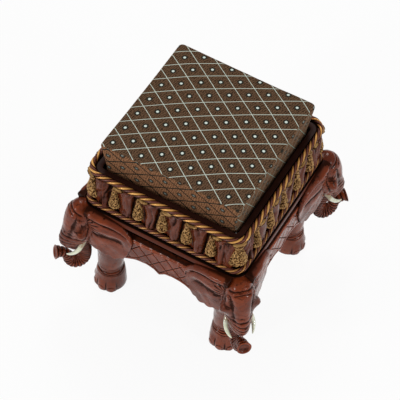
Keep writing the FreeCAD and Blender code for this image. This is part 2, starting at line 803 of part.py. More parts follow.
def cushion(bottom, inset, low_draw_share=0):
    half = mm("seat_half") - inset
    corner = mm("seat_corner") - inset
    edge = mm("seat_edge_height") - inset
    crown = mm("seat_crown")
    lean = mm("seat_lean")
    draw = mm("seat_draw")
    rolled = mm("seat_edge_round")
    rim = mm("well_top")
    rings = [
        cushion_ring(bottom, half - lean, corner, low_draw_share * draw),
        cushion_ring(rim, half - lean, corner, rim_draw_share * draw),
        cushion_ring((rim + edge) / 2, half - lean / 2, corner, draw),
        cushion_ring(edge - rolled, half, corner, top_draw_share * draw),
        cushion_ring(
            edge - edge_share * rolled, half - edge_share * rolled, corner, top_draw_share * draw),
        cushion_ring(edge, half - rolled, corner, top_draw_share * draw)]
    for share in crown_shares:
        height = edge + crown * (1 - share ** 2) / (1 - crown_shares[-1] ** 2)
        rings.append(cushion_ring(
            height, share * (half - rolled), share * corner, share * top_draw_share * draw))
    return faceted(rings)


under = mm("seat_bottom")
cloth = mm("cover_cloth")
board_low = under + cloth
hem_opening = flat_face(cushion_ring(
    under - cloth, mm("hem_half"), mm("board_corner"), 0))
hem_opening = hem_opening.extrude(upright * (3 * cloth))
new_feature("seat_cover", cushion(under, 0).cut(cushion(board_low, cloth)).cut(hem_opening))
new_feature("seat_foam", cushion(
    board_low + mm("board_thickness"), cloth + mm("fit_gap"), rim_draw_share))


def rounded_slab(name, half, low, thickness):
    body = new_body(name)
    plan = new_sketch(body, "Plan", "XY_Plane", z=low)
    flat = f"({half} - board_corner)"
    bend = f"({half} - board_corner + board_corner * sqrt(1 / 2))"
    corners = []
    for x, y in (("", ""), ("-", ""), ("-", "-"), ("", "-")):
        pair = [(f"{x}({half})", f"{y}{flat}"), (f"{x}{flat}", f"{y}({half})")]
        if x != y:
            pair.reverse()
        corners.append(pair[0] + (f"{x}{bend}", f"{y}{bend}"))
        corners.append(pair[1])
    draw_loop(plan, corners)
    pad(body, plan, thickness)


rounded_slab("seat_board", "board_half", "seat_bottom + cover_cloth", "board_thickness")
rounded_slab("dust_cloth", "dust_half", "seat_bottom - dust_cloth", "dust_cloth")

doc.recompute()
for item in doc.Objects:
    if "Invalid" in item.State or "Error" in item.State:
        raise RuntimeError(f"{item.Name} failed: {item.State}")
for item in subparts:
    if item.Shape.isNull() or not item.Shape.isValid():
        raise RuntimeError(f"{item.Label} has no valid shape")
for item in subparts:
    item.Shape.exportStep(f"parts/{item.Label}.step")
    print(item.Label, len(item.Shape.Solids), "solid(s),", round(item.Shape.Volume / 1000, 1), "cm3")
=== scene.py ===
import math

import bmesh
import bpy
import numpy as np
from mathutils import Matrix, Vector
from mathutils.kdtree import KDTree


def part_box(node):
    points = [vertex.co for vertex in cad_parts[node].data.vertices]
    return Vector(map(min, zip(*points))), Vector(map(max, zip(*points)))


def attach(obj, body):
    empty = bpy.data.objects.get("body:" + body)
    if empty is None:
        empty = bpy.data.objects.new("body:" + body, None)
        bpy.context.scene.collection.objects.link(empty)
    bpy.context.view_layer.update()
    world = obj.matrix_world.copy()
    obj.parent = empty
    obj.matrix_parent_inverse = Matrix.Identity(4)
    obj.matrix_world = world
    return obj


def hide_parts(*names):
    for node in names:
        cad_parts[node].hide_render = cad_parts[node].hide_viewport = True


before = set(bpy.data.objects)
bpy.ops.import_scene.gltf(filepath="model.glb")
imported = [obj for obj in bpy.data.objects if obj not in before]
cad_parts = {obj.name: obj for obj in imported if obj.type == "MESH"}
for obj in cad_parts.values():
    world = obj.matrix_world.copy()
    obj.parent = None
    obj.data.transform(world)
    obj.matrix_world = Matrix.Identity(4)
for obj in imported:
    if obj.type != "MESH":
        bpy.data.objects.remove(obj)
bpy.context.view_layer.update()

sideTurns = {"back": 0, "left": 90, "front": 180, "right": 270}
cornerTurns = {"back_right": 45, "back_left": 135, "front_left": 225, "front_right": 315}
tiny = 1e-12  # keeps a length from being divided by nothing
fullTurn = 2 * math.pi


# Camera: from above, a little to the right of the front corner's diagonal

camera = {
    "azimuth": 27.27,
    "back": (0.2713, -0.5263, 0.8059),  # from what it looks at towards the camera
    "target": (-0.07375, 0.125, 0.0),
    "distance": 3.2971,
    "roll": 3.4,
    "lens": 148.65,
    "sensor": 36,
    "farthest": 20,
}


def placeCamera():
    back = Vector(camera["back"]).normalized()
    turn = math.radians(camera["azimuth"])
    roll = math.radians(camera["roll"])
    level = Vector((math.cos(turn), math.sin(turn), 0))
    over = back.cross(level)
    right = level * math.cos(roll) + over * math.sin(roll)
    up = over * math.cos(roll) - level * math.sin(roll)
    data = bpy.data.cameras.new("photoCamera")
    data.lens = camera["lens"]
    data.sensor_width = camera["sensor"]
    data.clip_end = camera["farthest"]
    made = bpy.data.objects.new("photoCamera", data)
    bpy.context.scene.collection.objects.link(made)
    place = Vector(camera["target"]) + back * camera["distance"]
    made.matrix_world = Matrix.Translation(place) @ Matrix((right, up, back)).transposed().to_4x4()
    bpy.context.scene.camera = made


placeCamera()
print("camera placed")


# Shapes are grids of points in metres: rows x columns x 3

def hashed(cells, seed):
    # an even, repeatable value from -1 to 1 for each whole cell
    mixed = (cells[..., 0] * 374761393 + cells[..., 1] * 668265263
             + cells[..., 2] * 362437 + seed * 1274126177) & 0xFFFFFFFF
    mixed = ((mixed ^ (mixed >> 13)) * 1274126177) & 0xFFFFFFFF
    return ((mixed ^ (mixed >> 16)) & 0xFFFF) / 32767.5 - 1


def softNoise(points, size, seed=0):
    cells = np.asarray(points) / size
    low = np.floor(cells).astype(np.int64)
    part = cells - low
    part = part * part * (3 - 2 * part)
    total = np.zeros(cells.shape[:-1])
    for corner in np.ndindex(2, 2, 2):
        weight = np.prod(np.where(corner, part, 1 - part), axis=-1)
        total += weight * hashed(low + np.array(corner), seed)
    return total


def faceNoise(across, up, size, seed):
    # noise over a flat face
    return softNoise(np.stack([across, up, up * 0], axis=-1), size, seed)


def smooth(values, low, high):
    part = np.clip((values - low) / (high - low), 0, 1)
    return part * part * (3 - 2 * part)


def window(values, start, full, fade, end):
    # 0 before start, 1 from full to fade, and 0 past end
    return smooth(values, start, full) * (1 - smooth(values, fade, end))


def bump(values, centre, width):
    return np.exp(-((values - centre) / width) ** 2)


def halfRound(values, centre, half):
    return np.sqrt(np.clip(1 - ((values - centre) / half) ** 2, 0, 1))


def soften(line, passes):
    # evens a row of values in place, its ends kept
    for _ in range(passes):
        line[1:-1] = (line[2:] + line[:-2] + 2 * line[1:-1]) / 4


def unit(vectors):
    return vectors / np.maximum(np.linalg.norm(vectors, axis=-1, keepdims=True), tiny)


def roundTurns(count):
    return np.linspace(0, fullTurn, count, endpoint=False)


def through(keys, spots):
    # a smooth curve through the keys, read at spots from 0 to the last key
    keys = np.asarray(keys, float)
    flat = keys.reshape(len(keys), -1)
    spots = np.clip(np.asarray(spots, float), 0, len(keys) - 1)
    low = np.minimum(spots.astype(int), len(keys) - 2)
    part = (spots - low)[:, None]
    before, after = flat[np.maximum(low - 1, 0)], flat[np.minimum(low + 2, len(keys) - 1)]
    start, end = flat[low], flat[low + 1]
    out = 0.5 * (2 * start + (end - before) * part
                 + (2 * before - 5 * start + 4 * end - after) * part ** 2
                 + (3 * start - before - 3 * end + after) * part ** 3)
    return out.reshape((len(spots),) + keys.shape[1:])


def neighbours(grid, axis, around):
    ahead, behind = np.roll(grid, -1, axis), np.roll(grid, 1, axis)
    if not around:
        last, first = [slice(None)] * grid.ndim, [slice(None)] * grid.ndim
        last[axis], first[axis] = -1, 0
        ahead[tuple(last)] = grid[tuple(last)]
        behind[tuple(first)] = grid[tuple(first)]
    return ahead, behind


def gridNormals(grid, around):
    upAhead, upBehind = neighbours(grid, 0, False)
    sideAhead, sideBehind = neighbours(grid, 1, around)
    return unit(np.cross(sideAhead - sideBehind, upAhead - upBehind))


def hollowness(grid, normals, around, passes, depth):
    # 0 on open surfaces and 1 in grooves of this depth
    soft = grid.copy()
    for _ in range(passes):
        ahead, behind = neighbours(soft, 0, False)
        soft = (ahead + behind + 2 * soft) / 4
        ahead, behind = neighbours(soft, 1, around)
        soft = (ahead + behind + 2 * soft) / 4
    return np.clip(np.sum((soft - grid) * normals, axis=-1) / depth, -1, 1)


def shadeOf(recess, highest=1.2):
    return np.clip(recess, -1, highest)


def linked(name, mesh):
    made = bpy.data.objects.new(name, mesh)
    bpy.context.scene.collection.objects.link(made)
    return made


def meshObject(name, points, faces, recess=None):
    mesh = bpy.data.meshes.new(name)
    mesh.from_pydata(np.asarray(points).reshape(-1, 3).tolist(), [], faces)
    if recess is not None:
        pointValues(mesh, "recess", recess)
    mesh.polygons.foreach_set("use_smooth", [True] * len(mesh.polygons))
    return linked(name, mesh)


def pointValues(mesh, name, values):
    layer = mesh.attributes.new(name, "FLOAT", "POINT")
    layer.data.foreach_set("value", np.asarray(values, np.float32).ravel())


def gridFaces(rows, columns, around):
    index = np.arange(rows * columns).reshape(rows, columns)
    ahead = np.roll(index, -1, axis=1) if around else index[:, 1:]
    here = index if around else index[:, :-1]
    return np.stack([here[:-1], ahead[:-1], ahead[1:], here[1:]], axis=-1).reshape(-1, 4).tolist()


def gridPiece(name, grid, recess=None, capped=True):
    # closed round its columns, with all faces turned outward
    rows, columns = grid.shape[:2]
    faces = gridFaces(rows, columns, True)
    if capped:
        faces.append(list(range(columns))[::-1])
        faces.append(list(range((rows - 1) * columns, rows * columns)))
    piece = meshObject(name, grid, faces, recess)
    form = bmesh.new()
    form.from_mesh(piece.data)
    bmesh.ops.recalc_face_normals(form, faces=form.faces)
    form.to_mesh(piece.data)
    form.free()
    return piece


def joined(name, pieces):
    with bpy.context.temp_override(active_object=pieces[0], object=pieces[0],
                                   selected_objects=pieces, selected_editable_objects=pieces):
        bpy.ops.object.join()
    pieces[0].name = name
    pieces[0].data.name = name
    return pieces[0]


def shifted(piece, *place):
    piece.data.transform(Matrix.Translation(place))
    return piece


def finishPiece(piece, material, body, slot, *nodes):
    piece.data.materials.clear()
    piece.data.materials.append(material)
    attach(piece, body)
    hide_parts(*nodes)


def turnedCopies(first, turns):
    # first is drawn unturned; it becomes the copy for the first turn
    drawn = first.data.copy()
    copies = {}
    for place, turn in turns.items():
        piece = linked("copy", drawn.copy()) if copies else first
        piece.data.transform(Matrix.Rotation(math.radians(turn), 4, "Z"))
        copies[place] = piece
    bpy.data.meshes.remove(drawn)
    return copies


def placeAll(first, turns, prefix, node, material, slot="carved_wood", crisp=False):
    # a copy for each side or corner, named after it, in the node's place
    for place, piece in turnedCopies(first, turns).items():
        piece.name = piece.data.name = prefix + "".join(word.title() for word in place.split("_"))
        if crisp:
            piece.modifiers.new("crisp", "EDGE_SPLIT").split_angle = math.radians(50)
        finishPiece(piece, material, "base", slot, node + place)


def sidePoints(along, outward, up):
    # drawn for the back side: along runs to a viewer's right, outward is +Y
    along, outward, up = np.broadcast_arrays(along, outward, up)
    return np.stack([-along, outward, up], axis=-1)


def cornerPoints(outward, along, up):
    # drawn for a corner that points to +X
    outward, along, up = np.broadcast_arrays(outward, along, up)
    return np.stack([outward, along, up], axis=-1)


# Materials

def newMaterial(name):
    material = bpy.data.materials.new(name)
    material.use_nodes = True
    tree = material.node_tree
    tree.nodes.clear()
    output = tree.nodes.new("ShaderNodeOutputMaterial")
    shader = tree.nodes.new("ShaderNodeBsdfPrincipled")
    tree.links.new(shader.outputs[0], output.inputs[0])
    return material, tree, shader


def feed(tree, made, inputs):
    for name, value in inputs.items():
        if isinstance(value, bpy.types.NodeSocket):
            tree.links.new(value, made.inputs[name])
        elif isinstance(value, tuple) and len(value) == 3 and made.inputs[name].type == "RGBA":
            made.inputs[name].default_value = value + (1,)
        else:
            made.inputs[name].default_value = value


def addNode(tree, kind, settings=None, inputs=None):
    made = tree.nodes.new("ShaderNode" + kind)
    for name, value in (settings or {}).items():
        setattr(made, name, value)
    feed(tree, made, inputs or {})
    return made


def maths(tree, operation, *values, clamp=False):
    made = addNode(tree, "Math", {"operation": operation, "use_clamp": clamp},
                   dict(enumerate(values)))
    return made.outputs[0]


def plus(tree, first, second):
    return maths(tree, "ADD", first, second)


def minus(tree, first, second):
    return maths(tree, "SUBTRACT", first, second)


def times(tree, first, second, clamp=False):
    return maths(tree, "MULTIPLY", first, second, clamp=clamp)


def mixed(tree, share, first, second):
    return addNode(tree, "Mix", {"data_type": "RGBA"}, {0: share, 6: first, 7: second}).outputs[2]


def between(tree, value, low, high, lowOut=0.0, highOut=1.0):
    made = addNode(tree, "MapRange", {"interpolation_type": "SMOOTHSTEP"},
                   {0: value, 1: low, 2: high, 3: lowOut, 4: highOut})
    return made.outputs[0]


def bumped(tree, height, strength, depth):
    return addNode(tree, "Bump", None, {
        "Strength": strength, "Distance": depth, "Height": height}).outputs[0]


def attribute(tree, name):
    return addNode(tree, "Attribute", {"attribute_name": name}).outputs["Fac"]


def objectPlace(tree):
    return addNode(tree, "TexCoord").outputs["Object"]


def stretched(tree, place, stretch):
    return addNode(tree, "VectorMath", {"operation": "MULTIPLY"}, {0: place, 1: stretch}).outputs[0]


def noise(tree, place, scale, detail, rough=0.5, distortion=0.0, dimensions="3D"):
    made = addNode(tree, "TexNoise", {"noise_dimensions": dimensions}, {
        "Vector": place, "Scale": scale, "Detail": detail, "Roughness": rough,
        "Distortion": distortion})
    return made.outputs[0]


def newGroup(name, inputs, outputs):
    group = bpy.data.node_groups.new(name, "ShaderNodeTree")
    kinds = {"colour": "NodeSocketColor", "value": "NodeSocketFloat", "vector": "NodeSocketVector"}
    for label, (kind, start) in inputs.items():
        socket = group.interface.new_socket(name=label, in_out="INPUT", socket_type=kinds[kind])
        socket.default_value = start
    for label, kind in outputs.items():
        group.interface.new_socket(name=label, in_out="OUTPUT", socket_type=kinds[kind])
    entry = group.nodes.new("NodeGroupInput")
    leave = group.nodes.new("NodeGroupOutput")
    return group, entry.outputs, leave.inputs


def useGroup(tree, group, inputs):
    made = tree.nodes.new("ShaderNodeGroup")
    made.node_tree = group
    feed(tree, made, inputs)
    return made.outputs


agingAndShade = {
    "wornPatches": (0.35, 0.68, 0.0, 0.55),  # mottling from and to, and the share of the worn and highlight tone
    "mottleRough": 0.6,
    "mottleDark": 0.5,
    "fineScale": 420.0,
    "fineRough": 0.16,
    "creaseScale": 46.0,
    "creaseStretch": (1.0, 1.0, 1.9),
    "creaseWidth": 0.030,
    "creaseDark": 0.55,
    "creaseCut": -1.6,
    "glazeAndShadeSpan": (0.05, 0.75),
    "glazeAndShadeRough": 0.3,
    "recessGloss": 0.15,
    "grainScale": 55.0,
    "grainSpan": (0.3, 0.7),
    "poreDepth": 0.6,
    "coatRoughness": 0.2,
    "depth": 0.0006,
}


def buildAgedAndShadedFinish():
    # dark glaze with painted shade in carved recesses, and a worn, lighter tone with a painted highlight
    # on what stands out
    group, given, out = newGroup(
        "agedAndShadedFinish",
        {"Colour": ("colour", (0.2, 0.05, 0.02, 1)), "Glaze": ("colour", (0.01, 0.005, 0.004, 1)),
         "Worn": ("colour", (0.3, 0.1, 0.05, 1)), "Glaze and shade amount": ("value", 1.0),
         "Wear and highlight amount": ("value", 0.5), "Mottle size": ("value", 30.0),
         "Crease amount": ("value", 0.0)},
        {"Colour": "colour", "Roughness": "value", "Height": "value", "Gloss": "value"})
    look = agingAndShade
    recess = attribute(group, "recess")
    place = objectPlace(group)
    mottle = noise(group, place, given["Mottle size"], 4.0, look["mottleRough"])
    fine = noise(group, place, look["fineScale"], 3.0, look["mottleRough"])
    tone = mixed(group, between(group, mottle, *look["wornPatches"]), given["Colour"], given["Worn"])
    # wear and a painted highlight: what stands out turns to the lighter tone
    raised = times(group, times(group, recess, -1.0), given["Wear and highlight amount"], clamp=True)
    tone = mixed(group, raised, tone, given["Worn"])
    # thin wandering creases, as carved in the animals' skin, darkened with glaze and painted shade
    vein = noise(group, stretched(group, place, look["creaseStretch"]), look["creaseScale"],
                 2.0, 0.55, 0.4)
    vein = maths(group, "ABSOLUTE", minus(group, vein, 0.5))
    crease = times(group, between(group, vein, 0.0, look["creaseWidth"], 1.0, 0.0),
                   given["Crease amount"])
    # glaze and painted shade: darker in recesses, in the random mottle and in the creases, with less
    # gloss there
    deep = plus(group, recess, maths(group, "MULTIPLY_ADD", mottle, look["mottleDark"],
                                     -look["mottleDark"] / 2))
    deep = maths(group, "MULTIPLY_ADD", crease, look["creaseDark"], deep)
    deep = times(group, between(group, deep, *look["glazeAndShadeSpan"]), given["Glaze and shade amount"], clamp=True)
    rough = maths(group, "MULTIPLY_ADD", fine, look["fineRough"],
                  times(group, deep, look["glazeAndShadeRough"]))
    made = {"Colour": mixed(group, deep, tone, given["Glaze"]), "Roughness": rough,
            "Height": maths(group, "MULTIPLY_ADD", crease, look["creaseCut"], fine),
            "Gloss": between(group, deep, 0.0, 1.0, 1.0, look["recessGloss"])}
    for label, socket in made.items():
        group.links.new(socket, out[label])
    return group


def buildWoodGrain():
    group, given, out = newGroup(
        "woodGrain",
        {"Stretch": ("vector", (1, 1, 1)), "Scale": ("value", 60.0)},
        {"Mask": "value", "Pores": "value"})
    place = stretched(group, objectPlace(group), given["Stretch"])
    rings = noise(group, place, given["Scale"], 5.0, 0.65, 0.6)
    pores = noise(group, place, times(group, given["Scale"], 6.0), 2.0)
    group.links.new(rings, out["Mask"])
    group.links.new(pores, out["Pores"])
    return group


def buildWeave():
    # over and under threads; Place in metres, Pitch from thread to thread
    group, given, out = newGroup(
        "weave", {"Place": ("vector", (0, 0, 0)), "Pitch": ("value", 0.001)}, {"Height": "value"})
    spot = addNode(group, "SeparateXYZ", None, {0: given["Place"]}).outputs
    turn = maths(group, "DIVIDE", math.pi, given["Pitch"])
    waves = [maths(group, "ABSOLUTE", maths(group, "SINE", times(group, spot[axis], turn)))
             for axis in (0, 1)]
    cells = [maths(group, "FLOOR", maths(group, "DIVIDE", spot[axis], given["Pitch"]))
             for axis in (0, 1)]
    over = maths(group, "ABSOLUTE", maths(group, "MODULO", plus(group, *cells), 2.0))
    lifted = times(group, over, waves[0])
    crossed = times(group, minus(group, 1.0, over), waves[1])
    group.links.new(plus(group, lifted, crossed), out["Height"])
    return group


agedAndShadedFinish, woodGrain, weave = buildAgedAndShadedFinish(), buildWoodGrain(), buildWeave()


def carvedFinish(name, look):
    look = {"glazeAndShadeAmount": 1.0, "wearAndHighlightAmount": 1.0, "grain": None, "metal": 0.0, "coat": 0.0,
            "tint": (1.0, 1.0, 1.0), "crease": 0.0, **look}
    material, tree, shader = newMaterial(name)
    aged = useGroup(tree, agedAndShadedFinish, {
        "Colour": look["colour"], "Glaze": look["glaze"], "Worn": look["worn"],
        "Glaze and shade amount": look["glazeAndShadeAmount"], "Wear and highlight amount": look["wearAndHighlightAmount"],
        "Mottle size": look["mottle"], "Crease amount": look["crease"]})
    colour, height = aged["Colour"], aged["Height"]
    if look["grain"]:
        grain = useGroup(tree, woodGrain, {"Stretch": look["grain"], "Scale": agingAndShade["grainScale"]})
        streak = between(tree, grain["Mask"], *agingAndShade["grainSpan"], 0.0, look["grainShare"])
        colour = mixed(tree, streak, colour, look["glaze"])
        height = plus(tree, height, times(tree, grain["Pores"], agingAndShade["poreDepth"]))
    feed(tree, shader, {
        "Base Color": colour, "Metallic": look["metal"],
        "Roughness": maths(tree, "ADD", aged["Roughness"], look["roughness"], clamp=True),
        "Coat Weight": times(tree, aged["Gloss"], look["coat"]),
        "Coat Roughness": agingAndShade["coatRoughness"],
        "Specular IOR Level": times(tree, aged["Gloss"], look["specular"]),
        "Specular Tint": look["tint"],
        "Normal": bumped(tree, height, look["bump"], agingAndShade["depth"])})
    return material


mahogany = carvedFinish("mahogany", {
    "colour": (0.128, 0.023, 0.0085), "glaze": (0.013, 0.004, 0.002), "worn": (0.32, 0.060, 0.0155),
    "glazeAndShadeAmount": 0.9, "wearAndHighlightAmount": 0.8, "mottle": 17.0, "grain": (1.0, 1.0, 0.12),
    "grainShare": 0.2, "roughness": 0.11, "specular": 0.13, "tint": (1.0, 0.86, 0.80), "coat": 0.30,
    "bump": 0.35, "crease": 0.85})
# a darker copy of the mahogany, with the shade the drapery hangs in painted into its colour
draperyWood = carvedFinish("draperyWood", {
    "colour": (0.100, 0.018, 0.006), "glaze": (0.010, 0.003, 0.0013), "worn": (0.190, 0.040, 0.013),
    "wearAndHighlightAmount": 0.8, "mottle": 40.0, "grain": (1.0, 1.0, 0.12), "grainShare": 0.2,
    "roughness": 0.12, "specular": 0.12, "tint": (1.0, 0.84, 0.78), "coat": 0.12, "bump": 0.3,
    "crease": 0.6})
mouldingWood = carvedFinish("mouldingWood", {
    "colour": (0.095, 0.016, 0.005), "glaze": (0.005, 0.002, 0.001), "worn": (0.130, 0.026, 0.008),
    "wearAndHighlightAmount": 0.7, "mottle": 20.0, "grain": (0.15, 0.15, 1.0), "grainShare": 0.3,
    "roughness": 0.14, "specular": 0.10, "tint": (1.0, 0.84, 0.78), "bump": 0.15})
rimWood = carvedFinish("rimWood", {
    "colour": (0.036, 0.011, 0.007), "glaze": (0.008, 0.003, 0.002), "worn": (0.056, 0.018, 0.012),
    "wearAndHighlightAmount": 0.5, "mottle": 24.0, "grain": (0.15, 0.15, 1.0), "grainShare": 0.3,
    "roughness": 0.4, "specular": 0.1, "bump": 0.15})
giltStrand = carvedFinish("giltStrand", {
    "colour": (0.31, 0.100, 0.018), "glaze": (0.016, 0.004, 0.001), "worn": (0.82, 0.43, 0.12),
    "mottle": 60.0, "roughness": 0.24, "metal": 0.25, "specular": 0.3, "bump": 0.35})
dullGiltStrand = carvedFinish("dullGiltStrand", {
    "colour": (0.20, 0.062, 0.016), "glaze": (0.010, 0.003, 0.001), "worn": (0.52, 0.24, 0.07),
    "mottle": 45.0, "roughness": 0.26, "metal": 0.2, "specular": 0.3, "bump": 0.35})
brownStrand = carvedFinish("brownStrand", {
    "colour": (0.075, 0.016, 0.009), "glaze": (0.006, 0.002, 0.001), "worn": (0.17, 0.055, 0.038),
    "wearAndHighlightAmount": 0.9, "mottle": 50.0, "roughness": 0.18, "specular": 0.2, "bump": 0.25})
tasselGilt = carvedFinish("tasselGilt", {
    "colour": (0.34, 0.160, 0.045), "glaze": (0.040, 0.014, 0.004), "worn": (0.62, 0.38, 0.14),
    "mottle": 200.0, "roughness": 0.34, "metal": 0.15, "specular": 0.3, "bump": 0.5})


def ivoryFinish():
    material, tree, shader = newMaterial("ivory")
    cloud = noise(tree, objectPlace(tree), 90.0, 4.0)
    socket = between(tree, attribute(tree, "recess"), 0.0, 1.0, 0.0, 0.8)
    colour = mixed(tree, between(tree, cloud, 0.3, 0.7), (0.74, 0.76, 0.56), (0.86, 0.88, 0.72))
    feed(tree, shader, {
        "Base Color": mixed(tree, socket, colour, (0.30, 0.20, 0.09)),
        "Roughness": between(tree, cloud, 0.2, 0.8, 0.22, 0.36),
        "Coat Weight": 0.3, "Subsurface Weight": 0.1, "Subsurface Radius": (0.004, 0.003, 0.002),
        "Normal": bumped(tree, cloud, 0.15, 0.0004)})
    return material


def rawWood(name, colour, dark, stretch):
    material, tree, shader = newMaterial(name)
    grain = useGroup(tree, woodGrain, {"Stretch": stretch, "Scale": 70.0})
    tone = mixed(tree, between(tree, grain["Mask"], 0.3, 0.7), colour, dark)
    tone = mixed(tree, between(tree, grain["Pores"], 0.55, 0.75, 0.0, 0.5), tone, dark)
    feed(tree, shader, {
        "Base Color": tone, "Roughness": between(tree, grain["Pores"], 0.2, 0.8, 0.6, 0.78),
        "Normal": bumped(tree, grain["Pores"], 0.3, 0.0004)})
    return material


def zincFinish():
    material, tree, shader = newMaterial("zinc")
    cloud = noise(tree, objectPlace(tree), 260.0, 3.0)
    feed(tree, shader, {
        "Base Color": mixed(tree, cloud, (0.50, 0.49, 0.45), (0.66, 0.65, 0.60)),
        "Roughness": between(tree, cloud, 0.2, 0.8, 0.28, 0.48), "Metallic": 0.9})
    return material


ivory = ivoryFinish()
softwood = rawWood("softwood", (0.50, 0.33, 0.17), (0.32, 0.19, 0.09), (0.2, 0.2, 1.0))
plywood = rawWood("plywood", (0.58, 0.41, 0.23), (0.40, 0.26, 0.13), (0.12, 1.0, 1.0))
zinc = zincFinish()

trellis = {
    "acrossPitch": 0.05674,  # diamonds from tip to tip, along the front
    "backPitch": 0.03853,  # and square to it
    "acrossShift": -0.03149,
    "backShift": 0.01346,
    "acrossSkew": 0.0338,
    "backSkew": 0.0131,
    "lineWidth": 0.022,  # as a share of the way between two lines
    "lineCore": 0.55,
    "sideLine": 0.42,  # the dark lines of the front and back are wider
    "stitchPitch": 0.0030,
    "stitchDark": 0.28,
    "dotSpan": (0.0030, 0.0020),  # from a dot's edge in to its full tone
    "ringSpan": (0.0066, 0.0046),
    "ringAmount": 0.85,
    "sideDotDim": 0.80,
    "endDotDim": 0.7,
    "threadPitch": 0.0011,
    "ribPitch": 0.0042,
    "ribSlant": -0.25,
    "ribSpan": (-0.6, 0.7),
    "ribWander": 9.0,
    "wanderScale": 180.0,
    "fleckScale": 460.0,
    "ribFlecks": (0.34, 0.60, 0.15, 1.0),
    "groundFlecks": (0.54, 0.70, 0.0, 0.8),
    "relief": {"threads": 0.5, "line": 1.2, "rib": -0.7, "dot": 0.8},
    # painted light: lit and shaded tones of the top, of the front and back, and of the two ends, with a
    # painted sheen on the top's pale lines
    "ground": ((0.150, 0.084, 0.046), (0.285, 0.135, 0.066), (0.215, 0.118, 0.066)),
    "rib": ((0.024, 0.012, 0.006), (0.070, 0.030, 0.014), (0.050, 0.025, 0.013)),
    "line": ((0.78, 0.88, 0.76), (0.008, 0.013, 0.010), (0.30, 0.36, 0.29)),
    "dot": (0.74, 0.84, 0.76),
    "ring": (0.012, 0.017, 0.014),
}


def trellisMasks(tree, spot, side):
    # the lines, the dots and the dark rings round the dots
    look = trellis
    across = minus(tree, spot[0], times(tree, spot[1], look["acrossSkew"]))
    back = minus(tree, spot[1], times(tree, spot[0], look["backSkew"]))
    across = maths(tree, "DIVIDE", minus(tree, across, look["acrossShift"]), look["acrossPitch"])
    back = maths(tree, "DIVIDE", minus(tree, back, look["backShift"]), look["backPitch"])
    parts = [minus(tree, maths(tree, "FRACT", plus(tree, run, 0.5)), 0.5)
             for run in (plus(tree, across, back), minus(tree, across, back))]
    nearest = maths(tree, "MINIMUM", *[minus(tree, 0.5, maths(tree, "ABSOLUTE", part))
                                       for part in parts])
    nearest = times(tree, nearest, between(tree, side, 0.0, 1.0, 1.0, look["sideLine"]))
    line = between(tree, nearest, look["lineWidth"], look["lineWidth"] * look["lineCore"])
    # metres from the middle of a diamond
    offAcross = times(tree, plus(tree, *parts), look["acrossPitch"] / 2)
    offBack = times(tree, minus(tree, *parts), look["backPitch"] / 2)
    away = maths(tree, "SQRT", plus(tree, times(tree, offAcross, offAcross),
                                    times(tree, offBack, offBack)))
    return line, between(tree, away, *look["dotSpan"]), between(tree, away, *look["ringSpan"])


def twillMasks(tree, cloth, spot):
    # ribs across the diagonal, and how dark they and the flecks make the ground
    look = trellis
    slant = plus(tree, spot[0], times(tree, spot[1], look["ribSlant"]))
    wander = noise(tree, cloth, look["wanderScale"], 2.0, dimensions="2D")
    rib = maths(tree, "SINE", plus(tree, times(tree, slant, fullTurn / look["ribPitch"]),
                                   times(tree, wander, look["ribWander"])))
    rib = between(tree, rib, *look["ribSpan"])
    fleck = noise(tree, cloth, look["fleckScale"], 3.0, dimensions="2D")
    dark = times(tree, rib, between(tree, fleck, *look["ribFlecks"]))
    return rib, maths(tree, "MAXIMUM", dark, between(tree, fleck, *look["groundFlecks"]))


def upholsteryFinish():
    material, tree, shader = newMaterial("trellisCloth")
    look = trellis
    cloth = addNode(tree, "UVMap", {"uv_map": "cloth"}).outputs[0]
    spot = addNode(tree, "SeparateXYZ", None, {0: cloth}).outputs
    side, end = attribute(tree, "sideTone"), attribute(tree, "endTone")
    line, dot, ring = trellisMasks(tree, spot, side)
    rib, dark = twillMasks(tree, cloth, spot)

    # painted light: picks the top's, the front and back's or the ends' tone by the sideTone and endTone
    # values
    def zoned(tones):
        return mixed(tree, end, mixed(tree, side, tones[0], tones[1]), tones[2])

    ground = mixed(tree, dark, zoned(look["ground"]), zoned(look["rib"]))
    stitch = maths(tree, "SINE", times(tree, plus(tree, spot[0], spot[1]),
                                       fullTurn / look["stitchPitch"]))
    lineTone = mixed(tree, between(tree, stitch, -1.0, 0.6, look["stitchDark"], 0.0),
                     zoned(look["line"]), look["rib"][0])
    # painted shade: the dots dimmer on the front and back and on the ends
    dotTone = mixed(tree, between(tree, side, 0.0, 1.0, 0.0, look["sideDotDim"]),
                    look["dot"], look["ring"])
    dotTone = mixed(tree, times(tree, end, look["endDotDim"]), dotTone, look["ring"])
    colour = mixed(tree, times(tree, ring, look["ringAmount"]), ground, look["ring"])
    colour = mixed(tree, line, mixed(tree, dot, colour, dotTone), lineTone)
    threads = useGroup(tree, weave, {"Place": cloth, "Pitch": look["threadPitch"]})["Height"]
    relief = look["relief"]
    height = plus(tree, times(tree, threads, relief["threads"]), times(tree, line, relief["line"]))
    height = plus(tree, height, times(tree, rib, relief["rib"]))
    height = plus(tree, height, times(tree, dot, relief["dot"]))
    feed(tree, shader, {
        "Base Color": colour, "Specular IOR Level": 0.08,
        "Roughness": between(tree, plus(tree, line, dot), 0.0, 1.0, 0.88, 0.6),
        "Normal": bumped(tree, height, 0.5, 0.0005)})
    return material


